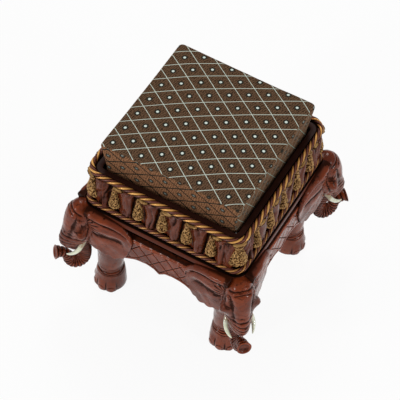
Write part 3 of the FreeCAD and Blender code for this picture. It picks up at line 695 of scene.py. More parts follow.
def plainCloth(name, colour, dark, pitch, roughness):
    material, tree, shader = newMaterial(name)
    place = objectPlace(tree)
    threads = useGroup(tree, weave, {"Place": place, "Pitch": pitch})["Height"]
    cloud = noise(tree, place, 35.0, 4.0)
    tone = mixed(tree, times(tree, threads, 0.6), dark, colour)
    tone = mixed(tree, between(tree, cloud, 0.3, 0.7, 0.0, 0.35), tone, dark)
    feed(tree, shader, {
        "Base Color": tone, "Roughness": between(tree, cloud, 0.2, 0.8, roughness - 0.05, roughness),
        "Normal": bumped(tree, threads, 0.4, pitch * 0.3)})
    return material


def foamFinish():
    material, tree, shader = newMaterial("foam")
    cells = addNode(tree, "TexVoronoi", None, {"Vector": objectPlace(tree), "Scale": 520.0}).outputs[0]
    feed(tree, shader, {
        "Base Color": mixed(tree, between(tree, cells, 0.1, 0.6), (0.56, 0.49, 0.30), (0.86, 0.80, 0.60)),
        "Roughness": between(tree, cells, 0.0, 1.0, 0.88, 0.97),
        "Normal": bumped(tree, cells, 0.5, 0.0006)})
    return material


trellisCloth = upholsteryFinish()
blackCloth = plainCloth("blackCloth", (0.030, 0.029, 0.028), (0.012, 0.012, 0.012), 0.0012, 0.95)
foam = foamFinish()
print("materials made")


# Cushion

cushion = {
    "half": 0.1405,
    "corner": 0.009,
    "cornerInset": 0.7,  # how much of an inset the corner's radius loses
    "bottom": 0.342,
    "rim": 0.356,  # of the well
    "edge": 0.423,
    "crown": 0.007,
    "crownPower": 2.2,
    "lean": 0.007,  # how much narrower it is at the rim of the well
    "draw": 0.0018,  # how far a side is pulled in between its corners
    "rimDraw": 0.4,
    "sideDraw": 0.6,
    "drawTurn": 0.8,
    "round": 0.0055,
    "sideSteps": 22,
    "underShares": (0.02, 0.3, 0.6, 0.85),
    "topShares": (0.94, 0.85, 0.7, 0.52, 0.34, 0.17, 0.02),
    "shy": 0.0016,  # how much smaller the fabric is before it is filled
    "foamInset": 0.0085,
    "foamBottom": 0.3555,
    "foldWidth": 0.0016,
    "foldDepth": 0.0011,
    "foldFrom": (0.123, 0.129),
    "foldUps": (0.345, 0.36, 0.411, 0.420),
    "unevenFrom": (0.36, 0.416),
    "uneven": ((0.05, 3, 0.0007), (0.02, 4, 0.0002)),  # size, seed and height
}
filling = {
    "voxel": 0.0045,
    "steps": 20,
    "most": 0.003,  # how far a point may move
    "carriers": 8,  # points of the copy that carry one of the fabric's
    "cloth": {"quality": 5, "mass": 0.3, "tension_stiffness": 25, "compression_stiffness": 25,
              "bending_stiffness": 1.5, "use_pressure": True, "uniform_pressure_force": 4},
}
pattern = {
    "fold": 0.002,  # how far inside the edge the pattern folds down
    "drop": 0.003,
    "under": -0.7,
    "sideSlope": (0.08, 0.45),
    "endTurn": (0.5, 0.8),
    "endShare": 0.62,
}


def cushionRing(half, corner, draw, height):
    straight = half - corner
    stops = np.linspace(-1, 1, cushion["sideSteps"] + 1)
    quarter = [(-stop * straight, half - draw * (1 - stop ** 2)) for stop in stops]
    for turn in np.radians(np.linspace(90, 180, 6)[1:-1]):
        quarter.append((corner * math.cos(turn) - straight, corner * math.sin(turn) + straight))
    x, y = np.array(quarter).T
    turns = np.arange(4) * math.pi / 2
    flat = np.concatenate([np.stack([x * math.cos(turn) - y * math.sin(turn),
                                     x * math.sin(turn) + y * math.cos(turn)], axis=-1)
                           for turn in turns])
    return np.concatenate([flat, np.full((len(flat), 1), height)], axis=1)


def cushionGrid(inset, bottom):
    size = cushion
    half, corner = size["half"] - inset, size["corner"] - inset * size["cornerInset"]
    edge, rim, draw, lean = size["edge"] - inset, size["rim"], size["draw"], size["lean"]
    rings = [cushionRing((half - lean) * share, corner * share, 0, bottom)
             for share in size["underShares"]]
    for share in np.linspace(0, 1, 5)[:-1]:
        rings.append(cushionRing(half - lean, corner, draw * size["rimDraw"] * share,
                                 bottom + share * (rim - bottom)))
    for share in np.linspace(0, 1, 10):
        pulled = size["rimDraw"] + size["sideDraw"] * math.sin(share * math.pi * size["drawTurn"])
        rings.append(cushionRing(half - lean * (1 - share), corner, draw * pulled,
                                 rim + share * (edge - size["round"] - rim)))
    for turn in np.radians(np.linspace(0, 90, 6)[1:]):
        rings.append(cushionRing(half - size["round"] * (1 - math.cos(turn)), corner,
                                 draw * size["sideDraw"], edge - size["round"] * (1 - math.sin(turn))))
    for share in size["topShares"]:
        height = edge + size["crown"] * (1 - share ** size["crownPower"])
        rings.append(cushionRing((half - size["round"]) * share, corner * share,
                                 draw * size["sideDraw"] * share, height))
    return np.array(rings)


def meshArray(items, field, width=3, kind=float):
    values = np.zeros(len(items) * width, kind)
    items.foreach_get(field, values)
    return values.reshape(-1, width) if width > 1 else values


def applyModifiers(piece):
    shape = bpy.data.meshes.new_from_object(
        piece.evaluated_get(bpy.context.evaluated_depsgraph_get()))
    piece.modifiers.clear()
    piece.data = shape


def filledMovement(copy):
    # the copy is remeshed and blown up a little; where its points were, and how they moved
    remesh = copy.modifiers.new("evenMesh", "REMESH")
    remesh.mode = "VOXEL"
    remesh.voxel_size = filling["voxel"]
    applyModifiers(copy)
    rest = meshArray(copy.data.vertices, "co")
    cloth = copy.modifiers.new("filling", "CLOTH")
    for name, value in filling["cloth"].items():
        setattr(cloth.settings, name, value)
    cloth.settings.effector_weights.gravity = 0
    cloth.point_cache.frame_start = 1
    cloth.point_cache.frame_end = filling["steps"]
    scene = bpy.context.scene
    for step in range(filling["steps"]):
        scene.frame_set(step + 1)
    shape = copy.evaluated_get(bpy.context.evaluated_depsgraph_get()).to_mesh()
    moved = meshArray(shape.vertices, "co") - rest
    scene.frame_set(1)
    length = np.linalg.norm(moved, axis=1, keepdims=True)
    return rest, moved * np.minimum(1, filling["most"] / np.maximum(length, tiny))


def puffed(piece):
    # the fabric goes where a filled copy of it went
    copy = linked("fillingCopy", piece.data.copy())
    rest, moved = filledMovement(copy)
    bpy.data.objects.remove(copy)
    near = KDTree(len(rest))
    for index, place in enumerate(rest):
        near.insert(place, index)
    near.balance()
    places = meshArray(piece.data.vertices, "co")
    carried = np.zeros_like(places)
    for index, place in enumerate(places):
        found = near.find_n(place, filling["carriers"])
        pull = 1 / (np.array([item[2] for item in found]) + filling["voxel"] / 2)
        carried[index] = pull @ moved[[item[1] for item in found]] / pull.sum()
    piece.data.vertices.foreach_set("co", (places + carried).ravel())


def layCloth(piece):
    # the fabric runs over the edges, so its pattern unfolds from the top down each side
    mesh = piece.data
    mesh.polygons.foreach_set("use_smooth", [True] * len(mesh.polygons))
    face = np.repeat(np.arange(len(mesh.polygons)),
                     meshArray(mesh.polygons, "loop_total", 1, np.int32))
    point = meshArray(mesh.vertices, "co")[meshArray(mesh.loops, "vertex_index", 1, np.int32)]
    out = meshArray(mesh.polygons, "center")[face]
    reach, high = cushion["half"] - pattern["fold"], cushion["edge"]
    outX, outY = np.abs(out[:, 0]), np.abs(out[:, 1])
    onSide = (np.maximum(outX, outY) > reach) | (out[:, 2] < high - pattern["drop"])
    onSide &= meshArray(mesh.polygons, "normal")[face, 2] >= pattern["under"]
    drop = np.maximum(high - point[:, 2], 0)
    cloth = point[:, :2].copy()
    for axis, wrapped in ((0, onSide & (outX > outY)), (1, onSide & (outX <= outY))):
        cloth[wrapped, axis] = np.sign(out[wrapped, axis]) * (reach + drop[wrapped])
    layer = mesh.uv_layers.new(name="cloth")
    layer.data.foreach_set("uv", cloth.astype(np.float32).ravel())
    # the light falls on the top, on the front and back, and on the ends in three tones
    facing = np.abs(meshArray(mesh.vertices, "normal"))
    side = smooth(1 - facing[:, 2], *pattern["sideSlope"])
    end = smooth(facing[:, 0], *pattern["endTurn"])
    pointValues(mesh, "sideTone", side * (1 - pattern["endShare"] * end))
    pointValues(mesh, "endTone", side * end)


def buildCushion():
    size = cushion
    cover = gridPiece("cushionCover", cushionGrid(size["shy"], size["bottom"]))
    finer = cover.modifiers.new("finer", "SUBSURF")
    finer.levels = finer.render_levels = 1
    applyModifiers(cover)
    layCloth(cover)
    puffed(cover)
    places = meshArray(cover.data.vertices, "co")
    # mitred folds at the upright corners
    outX, outY = np.abs(places[:, 0]), np.abs(places[:, 1])
    fold = bump(outX - outY, 0, size["foldWidth"])
    fold *= smooth(np.minimum(outX, outY), *size["foldFrom"]) * window(places[:, 2], *size["foldUps"])
    places[:, :2] -= unit(places[:, :2]) * (fold * size["foldDepth"])[:, None]
    wander = sum(softNoise(places, wide, seed) * height for wide, seed, height in size["uneven"])
    places[:, 2] += wander * smooth(places[:, 2], *size["unevenFrom"])
    places[:, 2] = np.maximum(places[:, 2], size["bottom"])
    cover.data.vertices.foreach_set("co", places.ravel())
    finishPiece(cover, trellisCloth, "seat", "upholstery", "seat_cover")
    inside = gridPiece("foamFilling", cushionGrid(size["foamInset"], size["foamBottom"]))
    finishPiece(inside, foam, "seat", "foam", "seat_foam")


buildCushion()

dust = {
    "points": 49,
    "sag": 0.0006,
    "sagSize": 0.03,
    "lift": 0.0001,
}


def buildDustCloth():
    low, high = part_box("dust_cloth")
    stops = np.linspace(-high.x, high.x, dust["points"])
    across, back = np.meshgrid(stops, stops)
    sag = dust["sag"] * faceNoise(across, back, dust["sagSize"], 8)
    lower = np.stack([across, back, low.z + dust["lift"] + np.maximum(sag, 0)], axis=-1)
    faces = [face[::-1] for face in gridFaces(dust["points"], dust["points"], False)]
    sheet = meshObject("dustCloth", lower, faces)
    finishPiece(sheet, blackCloth, "seat", "black_cloth", "dust_cloth")


buildDustCloth()
print("cushion made")


# Rope mouldings: six strands laid round each other, gilt and brown in turn

ropes = {
    "upper": {"node": "upper_rope", "centre": 0.130, "bend": 0.0243, "height": 0.3566,
              "giltLay": 0.0036, "giltStrand": 0.0022, "brownLay": 0.0038, "brownStrand": 0.0019,
              "turns": 18, "gilt": giltStrand, "brown": brownStrand},
    "lower": {"node": "lower_rope", "centre": 0.138, "bend": 0.0198, "height": 0.2742,
              "giltLay": 0.0033, "giltStrand": 0.0019, "brownLay": 0.0034, "brownStrand": 0.0018,
              "turns": 21, "gilt": dullGiltStrand, "brown": brownStrand},
}
strand = {
    "points": 1440,
    "sides": 10,
    "count": 6,
    "oval": 1.06,
    "rough": (0.006, 0.00012),  # size and height
    # painted highlight where the rope faces up and out, and painted shade where it faces down and in,
    # broken up in patches
    "paintedLightAt": 60,
    "paintedLightFrom": 0.72,
    "paintedLightPatches": 0.25,
    "shade": 1.35,
    "crest": 2.0,
    "paintedLight": 1.5,
}


def ropeLine(centre, bend, count):
    # points of the rounded square, anticlockwise from the front side's left end
    straight = 2 * centre
    quarter = math.pi / 2 * bend
    spots = np.arange(count) / count * 4 * (straight + quarter)
    side = np.floor(spots / (straight + quarter)).astype(int)
    rest = spots - side * (straight + quarter)
    turn = np.maximum(rest - straight, 0) / bend
    outX, outY = np.sin(turn), -np.cos(turn)
    x = -centre + np.minimum(rest, straight) + bend * outX
    y = -centre + bend * outY
    cos, sin = np.cos(side * math.pi / 2), np.sin(side * math.pi / 2)
    line = np.stack([x * cos - y * sin, x * sin + y * cos], axis=-1)
    outward = np.stack([outX * cos - outY * sin, outX * sin + outY * cos], axis=-1)
    return line, outward


def strandGrid(line, outward, turn, height, lay, thick, seed):
    middle = np.concatenate([line + outward * (lay * np.cos(turn))[:, None],
                             (height + lay * np.sin(turn))[:, None]], axis=1)
    along = unit(np.roll(middle, -1, 0) - np.roll(middle, 1, 0))
    radial = np.concatenate([outward * np.cos(turn)[:, None], np.sin(turn)[:, None]], axis=1)
    radial = unit(radial - along * np.sum(radial * along, axis=1, keepdims=True))
    across = np.cross(along, radial)
    around = np.arange(strand["sides"]) / strand["sides"] * fullTurn
    grid = (middle[:, None] + radial[:, None] * (np.cos(around) * thick)[None, :, None]
            + across[:, None] * (np.sin(around) * thick * strand["oval"])[None, :, None])
    wide, high = strand["rough"]
    grid += gridNormals(grid, True) * (softNoise(grid, wide, seed) * high)[..., None]
    # painted light: lighter where the rope faces up and out
    facing = strand["paintedLightFrom"] - np.cos(turn - math.radians(strand["paintedLightAt"]))
    facing += strand["paintedLightPatches"] * softNoise(middle, 0.02, seed + 40)
    # worn gilt and a painted highlight on each strand's crest, and painted shade on its sides between the
    # strands
    recess = (strand["shade"] - strand["crest"] * np.cos(around)[None]
              + strand["paintedLight"] * facing[:, None])
    return np.concatenate([grid, grid[:1]]), shadeOf(np.concatenate([recess, recess[:1]]), 1)


def buildRope(name, size):
    line, outward = ropeLine(size["centre"], size["bend"], strand["points"])
    spots = np.arange(strand["points"]) / strand["points"]
    for first, colour in enumerate(("gilt", "brown")):
        pieces = []
        for start in range(first, strand["count"], 2):
            turn = fullTurn * (size["turns"] * spots + start / strand["count"])
            grid, recess = strandGrid(line, outward, turn, size["height"], size[colour + "Lay"],
                                      size[colour + "Strand"], start)
            pieces.append(gridPiece("strand", grid, recess, capped=False))
        piece = joined(f"{name}Rope{colour.title()}", pieces)
        finishPiece(piece, size[colour], "base", "rope_paint", size["node"])


for ropeName, ropeSize in ropes.items():
    buildRope(ropeName, ropeSize)
print("ropes made")


# Carved drapery: folds fall between the tassels, gathered above each of them

drapery = {
    "top": 0.3503,
    "bottom": 0.2802,
    "flat": 0.153,
    "flatHalf": 0.109,
    "post": (0.1353, 0.1591),
    "corner": 0.2082,  # from the middle of the stool out to a corner
    "spacing": 0.0007,
    "evenings": 14,
    "rows": 60,
    "pitch": 0.049,
    "lastTassel": 0.098,
    "lastBay": 0.1225,
    "thick": 0.0052,
    "rise": 0.0045,  # how far the folds stand out at the top
    "fall": 0.0080,  # and at the bottom
    "tasselHalf": 0.007,
    "bayPower": 1.2,
    "cornerSwell": (0.35, 0.008),
    "lean": 0.10,
    "drift": (0.006, 0.026),
    "hangs": ((0.22, 0.0105, 21, 1.0), (0.3, 0.0055, 22, 0.5)),  # stretch, size, seed, share
    "hangRise": 0.0016,
    "valleySpan": (0.05, 0.95),
    "valleyCut": 0.0024,
    "streak": (0.12, 0.0030, 0.0005),  # stretch, size, height
    "gathers": 12,
    "gatherCut": 0.0010,
    "gatherTop": 0.010,
    "gatherSpan": (0.006, 0.016, 0.022, 0.040),
    "groove": 0.0038,
    # place, lean, width and span of the deep fold beside each tassel, and of a lesser one
    "deepFold": (0.0150, -0.007, 0.0030, (0.0, 0.10, 0.84, 0.97)),
    "lesserFold": (-0.0140, 0.005, 0.0020, (-1.0, 0.0, 0.6, 0.9)),
    "lesserShare": 0.35,
    "knot": (0.002, 0.0075, 0.86, 0.085),  # aside, half width, up, half height
    "knotCut": 0.0020,
    "deepest": -0.0036,
}


def draperyLine():
    corner = math.sqrt(0.5) * drapery["corner"]
    half = [(corner, corner), drapery["post"], (drapery["flatHalf"], drapery["flat"])]
    keys = np.array([(-x, y) for x, y in half] + half[::-1])
    line = []
    for start, end in zip(keys, keys[1:]):
        count = max(2, int(np.linalg.norm(end - start) / drapery["spacing"]))
        line += [start + (end - start) * place / count for place in range(count)]
    line = np.array(line + [keys[-1]])
    soften(line, drapery["evenings"])
    return line[::-1] * (-1, 1)  # left to right for a viewer: x is still turned over


def draperyRelief(spots, z, share):
    # how far the carving stands out, and the painted shade of its hollows
    size = drapery
    pitch = size["pitch"]
    # place between tassels, 0 at a tassel
    bays = np.where(np.abs(spots) < size["lastBay"], (spots + pitch / 2) % pitch - pitch / 2,
                    np.sign(spots) * (np.abs(spots) - size["lastTassel"]))
    s, x = (np.broadcast_to(values[:, None], z.shape) for values in (bays, spots))
    beside = np.abs(s)
    swell = np.clip((beside - size["tasselHalf"]) / (pitch / 2 - size["tasselHalf"]), 0, 1)
    amount, width = size["cornerSwell"]
    lobe = np.where(np.abs(x) > size["lastBay"], amount * bump(np.abs(x), size["lastBay"], width),
                    np.sin(swell * math.pi / 2) ** size["bayPower"])
    out = lobe * (size["fall"] + (size["rise"] - size["fall"]) * share)
    # soft folds that lean over as they fall, deeper in the middle of each bay
    far, wide = size["drift"]
    drift = x + far * faceNoise(x, z, wide, 3) - size["lean"] * (size["top"] - z)
    hang = sum(part * faceNoise(drift, z * stretch, wide, seed)
               for stretch, wide, seed, part in size["hangs"])
    valleys = smooth(-hang, *size["valleySpan"]) * smooth(beside, 0.009, 0.014)
    out += ((size["hangRise"] * np.clip(hang, -0.3, 1) - size["valleyCut"] * valleys)
            * smooth(beside, 0.008, 0.014))
    stretch, wide, high = size["streak"]
    streaks = faceNoise(drift, z * stretch, wide, 23)
    out += high * streaks
    # folds that gather under the rope above each tassel
    under = size["top"] + size["gatherTop"] - z
    folds = np.cos(np.arctan2(s, under) * size["gathers"] + 1.2 * faceNoise(x, z, 0.02, 1))
    out += size["gatherCut"] * folds * window(np.hypot(s, under), *size["gatherSpan"])
    grooves = [bump(s, place + lean * share, width) * window(share, *span)
               for place, lean, width, span in (size["deepFold"], size["lesserFold"])]
    groove = grooves[0] + size["lesserShare"] * grooves[1]
    aside, half, up, tall = size["knot"]
    hole = bump(s, aside, half) * bump(share, up, tall)
    out -= size["groove"] * groove + size["knotCut"] * hole
    out += 0.0003 * faceNoise(x, z * 0.4, 0.006, 2)
    # painted shade in the grooves, the valleys and the hollow over each knot, under the rope and along
    # the bottom edge, and a painted highlight on the raised streaks
    dark = (0.75 * groove + 0.35 * valleys + hole - 0.35 * streaks
            + 0.4 * smooth(share, 0.93, 1.0) + 0.5 * (1 - smooth(share, 0.0, 0.07)))
    return np.maximum(out, size["deepest"]), dark


def buildDrapery():
    size = drapery
    line = draperyLine()
    along = unit(np.gradient(line, axis=0))
    outward = np.stack([-along[:, 1], along[:, 0]], axis=-1)
    outward *= np.sign(outward[:, 1:2] + tiny)
    outward[[0, -1]] = unit(line[[0, -1]])
    share, z = (np.broadcast_to(values, (len(line), size["rows"])) for values in (
        np.linspace(0, 1, size["rows"]), np.linspace(size["bottom"], size["top"], size["rows"])))
    out, dark = draperyRelief(line[:, 0], z, share)
    front = np.concatenate([line[:, None] + outward[:, None] * out[..., None], z[..., None]], axis=-1)
    back = line - outward * size["thick"]
    closing = [np.concatenate([back, np.full((len(back), 1), height)], axis=1)[:, None]
               for height in (size["top"], size["bottom"])]
    normals = gridNormals(front, False)
    normals *= np.sign(np.sum(normals[..., :2] * outward[:, None], -1))[..., None]
    # painted shade in the hollows, added to that of the folds
    recess = shadeOf(0.5 * hollowness(front, normals, False, 9, 0.0014) + dark, 1.5)
    first = gridPiece("drapery", np.concatenate([front] + closing, axis=1),
                      np.concatenate([recess, np.zeros((len(line), 2))], axis=1))
    placeAll(first, sideTurns, "drapery", "drapery_", draperyWood)


buildDrapery()


# Tassels: a knotted neck over a skirt of crimped threads, and beside each a small
# gathered fan of the same threads under the rope

tassels = {
    "bottom": 0.2915,
    "height": 0.053,
    "width": 0.020,
    "profile": [(0.0, 0.34), (0.02, 0.72), (0.06, 0.95), (0.13, 1.03), (0.24, 0.98), (0.38, 0.84),
                (0.52, 0.68), (0.66, 0.52), (0.75, 0.37), (0.79, 0.33), (0.83, 0.44), (0.88, 0.50),
                (0.92, 0.42), (0.95, 0.30), (0.98, 0.24), (1.0, 0.05)],
    "rows": 130,
    "columns": 96,
    "thread": 0.0029,
    "crimp": 0.0011,
    "skirt": (0.0, 0.03, 0.78, 0.84),
    "cords": 14,
    "cordHeight": 0.0004,
    "knot": (0.86, 0.03),
    "ties": ((0.79, 0.018, 0.9), (0.915, 0.012, 0.6)),  # place, width and darkness of the painted shade in the ties
    "seat": 0.0012,  # how far a tassel's middle stands off the drapery's flat
    "fanTop": 0.3505,
    "fanHeight": 0.0058,
    "fanShare": 0.54,
    "fanDepth": 0.5,
    "fanThread": 0.0024,
    "fanCrimp": 0.0014,
    "fanAside": 0.010,
    "fanSeat": 0.0045,
    "cornerWidth": 0.033,
    "cornerDepth": 0.62,
    "cornerSeat": 0.2085,
    "cornerFan": 0.7,
    "cornerFanSeat": 0.2105,
}


def crimped(grid, size, seed, strength):
    # curled threads: narrow ridges that wander, with pits between them, painted shade in the pits and a
    # painted highlight on the ridges
    warp = grid + 0.0012 * np.stack([softNoise(grid + shift, 0.004, seed + 5)
                                     for shift in (0.1, 0.2, 0.3)], axis=-1)
    height = 1 - 7.5 * np.abs(softNoise(warp, size, seed))
    height = np.maximum(height, 0.5 - 7.0 * np.abs(softNoise(warp + 0.37, size * 0.7, seed + 1)))
    height = np.clip(height, -0.8, 1)
    return grid + gridNormals(grid, True) * (height * strength)[..., None], -height * 1.1


def turnedGrid(wide, deep, heights, columns):
    # rings of these half widths, one at each height
    around = roundTurns(columns)
    ups = np.broadcast_to(heights[:, None], (len(heights), columns))
    return np.stack([np.outer(wide, np.cos(around)), np.outer(deep, np.sin(around)), ups], axis=-1)


def tasselForm(width, seed, depth=1.0):
    size = tassels
    share, radius = through(size["profile"], np.linspace(0, len(size["profile"]) - 1, size["rows"])).T
    radius = radius * width / 2
    grid = turnedGrid(radius * depth, radius, size["bottom"] + share * size["height"], size["columns"])
    skirt = window(share, *size["skirt"])[:, None]
    rough, recess = crimped(grid, size["thread"], seed, size["crimp"])
    cords = np.cos(roundTurns(size["columns"]) * size["cords"])[None] * (1 - skirt)
    cords = cords * (1 - bump(share, *size["knot"])[:, None])
    normals = gridNormals(grid, True)
    grid = grid * (1 - skirt[..., None]) + rough * skirt[..., None]
    grid += normals * (size["cordHeight"] * cords)[..., None]
    # painted shade in the skirt's pits, between the neck's cords and in the ties, and a painted highlight
    # on the cords
    recess = recess * skirt * 0.95 - 0.5 * cords * (1 - skirt) + 0.1
    for place, wide, dark in size["ties"]:
        recess += dark * bump(share, place, wide)[:, None]
    return gridPiece("skirt", grid, shadeOf(recess))


def fanForm(width, seed):
    # a low cap of threads, wider than the neck, just under the rope
    size = tassels
    ups = np.linspace(0, 1, 26)
    radius = width * size["fanShare"] * halfRound(ups, 0, 1)
    grid = turnedGrid(radius, radius * size["fanDepth"], size["fanTop"] - ups * size["fanHeight"], 48)
    grid, recess = crimped(grid, size["fanThread"], seed, size["fanCrimp"])
    return gridPiece("fan", grid, shadeOf(recess + 0.1, 1))


def buildTassels():
    size = tassels
    row = []
    for place in range(-2, 3):
        along = -place * drapery["pitch"]
        row.append(shifted(tasselForm(size["width"], 10 + place),
                           along, drapery["flat"] + size["seat"], 0))
        row.append(shifted(fanForm(size["width"], 30 + place),
                           along - size["fanAside"], drapery["flat"] + size["fanSeat"], 0))
    placeAll(joined("tassels", row), sideTurns, "tassels", "tassels_", tasselGilt, "gold_paint")
    skirt = shifted(tasselForm(size["cornerWidth"], 50, size["cornerDepth"]), size["cornerSeat"], 0, 0)
    fan = fanForm(size["cornerWidth"] * size["cornerFan"], 60)
    fan.data.transform(Matrix.Rotation(-math.pi / 2, 4, "Z"))
    pair = joined("cornerTassel", [skirt, shifted(fan, size["cornerFanSeat"], 0, 0)])
    placeAll(pair, cornerTurns, "cornerTassel", "corner_tassel_", tasselGilt, "gold_paint")


buildTassels()
print("drapery and tassels made")


# Base moulding: a rounded fillet over a cove

moulding = {
    "centre": 0.138,
    "section": [(0.0272, 0.2540), (0.0272, 0.2636), (0.0262, 0.2655), (0.0240, 0.2668),
                (0.0222, 0.2670), (0.0050, 0.2670), (0.0050, 0.2290), (0.0150, 0.2290),
                (0.0150, 0.2372), (0.0152, 0.2400), (0.0160, 0.2440), (0.0176, 0.2478),
                (0.0200, 0.2508), (0.0232, 0.2528), (0.0264, 0.2536)],
    "cove": (0.2545, 0.012, 0.014, 0.75),  # top, fade, outer side and darkness of its shade
    "ledge": (0.2640, 0.0020, 0.9),  # bottom, fade and darkness of the painted shade under the rope
}


def mitredRun(section, centre):
    # the back's run of a section, from the middle of one rounded corner to the next
    turns = np.radians(np.linspace(45, 0, 10))
    rows = [(-centre, turn) for turn in turns]
    rows += [(place, 0.0) for place in np.linspace(-centre, centre, 25)[1:-1]]
    rows += [(centre, -turn) for turn in turns[::-1]]
    return np.array([np.stack([place - section[:, 0] * math.sin(turn),
                               centre + section[:, 0] * math.cos(turn), section[:, 1]], axis=-1)
                     for place, turn in rows])


def placeRun(size, shade, prefix, node, material):
    grid = mitredRun(np.array(size["section"]), size["centre"])
    first = gridPiece(prefix, grid, np.broadcast_to(shade, grid.shape[:2]))
    placeAll(first, sideTurns, prefix, node, material, crisp=True)


def buildMoulding():
    out, up = np.array(moulding["section"]).T
    top, fade, side, dark = moulding["cove"]
    shade = np.clip((top - up) / fade, 0, 1) * (out > side) * dark
    bottom, fade, dark = moulding["ledge"]
    shade += np.clip((up - bottom) / fade, 0, 1) * dark
    placeRun(moulding, shade, "baseMoulding", "base_moulding_", mouldingWood)


buildMoulding()


# Linings of the well, with a lip that comes near the cushion

liner = {
    "centre": 0.130,
    "section": [(0.0065, 0.3553), (0.0072, 0.3560), (0.0169, 0.3560), (0.0169, 0.2672),
                (0.0130, 0.2672), (0.0130, 0.3510), (0.0068, 0.3510), (0.0065, 0.3513)],
    "shade": (0.3555, 0.006),  # where it begins below the lip, and its fade
}


def buildLiners():
    top, fade = liner["shade"]
    shade = np.clip((top - np.array(liner["section"])[:, 1]) / fade, 0, 1)
    placeRun(liner, shade, "wellLiner", "well_liner_", rimWood)


buildLiners()


# Aprons: a hung cloth's edge in wood, with a double bead and a carved lattice

apron = {
    "half": 0.104,
    "face": 0.1626,
    "back": 0.145,
    "top": 0.229,
    "edge": [(0.0, 0.158), (0.0111, 0.1674), (0.0278, 0.171), (0.050, 0.1681), (0.0625, 0.1618),
             (0.074, 0.1555), (0.084, 0.155), (0.104, 0.155)],
    "columns": 300,
    "rows": 90,
    "evenings": 8,
    "beads": (0.2262, 0.2218),
    "beadHalf": 0.0019,
    "beadRise": 0.0024,
    "panelTop": (0.2185, 0.2198),
    "panelFoot": (0.0062, 0.0075),
    "panelRise": 0.0006,
    "lattice": 0.033,  # a diamond, from top to bottom
    "slope": 1.15,
    "cut": 0.0016,
    "cutWidth": 0.0013,
    "hem": (0.0032, 0.0028, 0.0011),  # place, half width and height
    "hemGroove": (0.0066, 0.0006, 0.0007),  # place, width and depth
    "uneven": (0.007, 0.00035),
    "beadGrooves": ((0.2240, 0.0007), (0.2193, 0.0008)),
}


def buildAprons():
    size = apron
    keys = np.array(size["edge"])
    x = np.linspace(-size["half"], size["half"], size["columns"])
    low = np.interp(np.abs(x), keys[:, 0], keys[:, 1])
    soften(low, size["evenings"])
    z = low[:, None] + np.linspace(0, 1, size["rows"])[None] * (size["top"] - low)[:, None]
    xs = np.broadcast_to(x[:, None], z.shape)
    above = z - low[:, None]
    bead = sum(halfRound(z, height, size["beadHalf"]) for height in size["beads"])
    panel = (1 - smooth(z, *size["panelTop"])) * smooth(above, *size["panelFoot"])
    cuts = np.zeros_like(z)
    for sign in (1, -1):
        lean = (xs * size["slope"] + sign * z) / size["lattice"]
        away = (0.5 - np.abs(lean % 1 - 0.5)) * size["lattice"]
        cuts = np.maximum(cuts, bump(away, 0, size["cutWidth"]))
    place, half, high = size["hem"]
    groove, width, depth = size["hemGroove"]
    wide, rough = size["uneven"]
    out = (size["beadRise"] * bead + panel * (size["panelRise"] - size["cut"] * cuts)
           + high * halfRound(above, place, half) - depth * bump(above, groove, width)
           + rough * faceNoise(xs, z * 0.5, wide, 5))
    front = sidePoints(xs, size["face"] + out, z)
    # painted shade in the hollows, the lattice cuts, the hem groove and the bead grooves, and the beads
    # lighter with wear and a painted highlight
    recess = hollowness(front, -gridNormals(front, False), False, 5, 0.0005)
    recess += -0.9 * bead + 0.8 * cuts * panel + 0.5 * bump(above, groove, 0.0008)
    for height, width in size["beadGrooves"]:
        recess += 0.7 * bump(z, height, width)
    rims = [sidePoints(x, size["back"], height)[:, None] for height in (size["top"], low)]
    first = gridPiece("apron", np.concatenate([front] + rims, axis=1),
                      np.concatenate([shadeOf(recess), np.zeros((len(x), 2))], axis=1))
    placeAll(first, sideTurns, "apron", "apron_", mahogany)


buildAprons()
print("mouldings and aprons made")


# Legs

leg = {
    "out": 0.17826,
    # up from the floor and half width, in millimetres
    "rings": [(0.0, 29.6), (1.2, 30.6), (5, 31.1), (11, 31.0), (20, 30.0), (31, 28.5), (39, 27.4),
              (47, 26.6), (53, 23.6), (59, 24.8), (70, 25.0), (90, 25.3), (112, 26.2), (126, 26.8),
              (140, 27.0), (154, 29.4), (168, 31.5), (229, 31.5)],
    "levels": ((0, 0.016, 22), (0.017, 0.075, 70), (0.078, 0.168, 34), (0.172, 0.229, 5)),
    "columns": 120,
    "evenings": 2,
    "square": (0.112, 0.168),  # where the round shin turns into the block
    "block": [(0.21406, 0.0), (0.21406, 0.0193), (0.1888, 0.0445), (0.1665, 0.0223), (0.1443, 0.0)],
    "toes": (-76, -38, 0, 38, 76),
    "toeHalf": 19,
    "toeDepth": 0.0026,
    "toeBase": 0.25,
    "toeTop": (0.012, 0.034),
    "gapWidth": 0.10,
    "nail": (0.62, 0.0075, 0.0068),  # share of the toe's width, middle and half height
    "nailRise": 0.0009,
    "nailRim": 0.0004,
    "wrinkles": ((0.0445, 0.0009), (0.0490, 0.0012), (0.0530, 0.0016), (0.0572, 0.0011),
                 (0.0640, 0.0007)),
    "wrinkleWidth": 0.0011,
    "wrinkleFull": 0.0012,
    "waves": ((0.0012, 2, 1.7), (0.0006, 5, 1.0)),  # height, count and shift
}


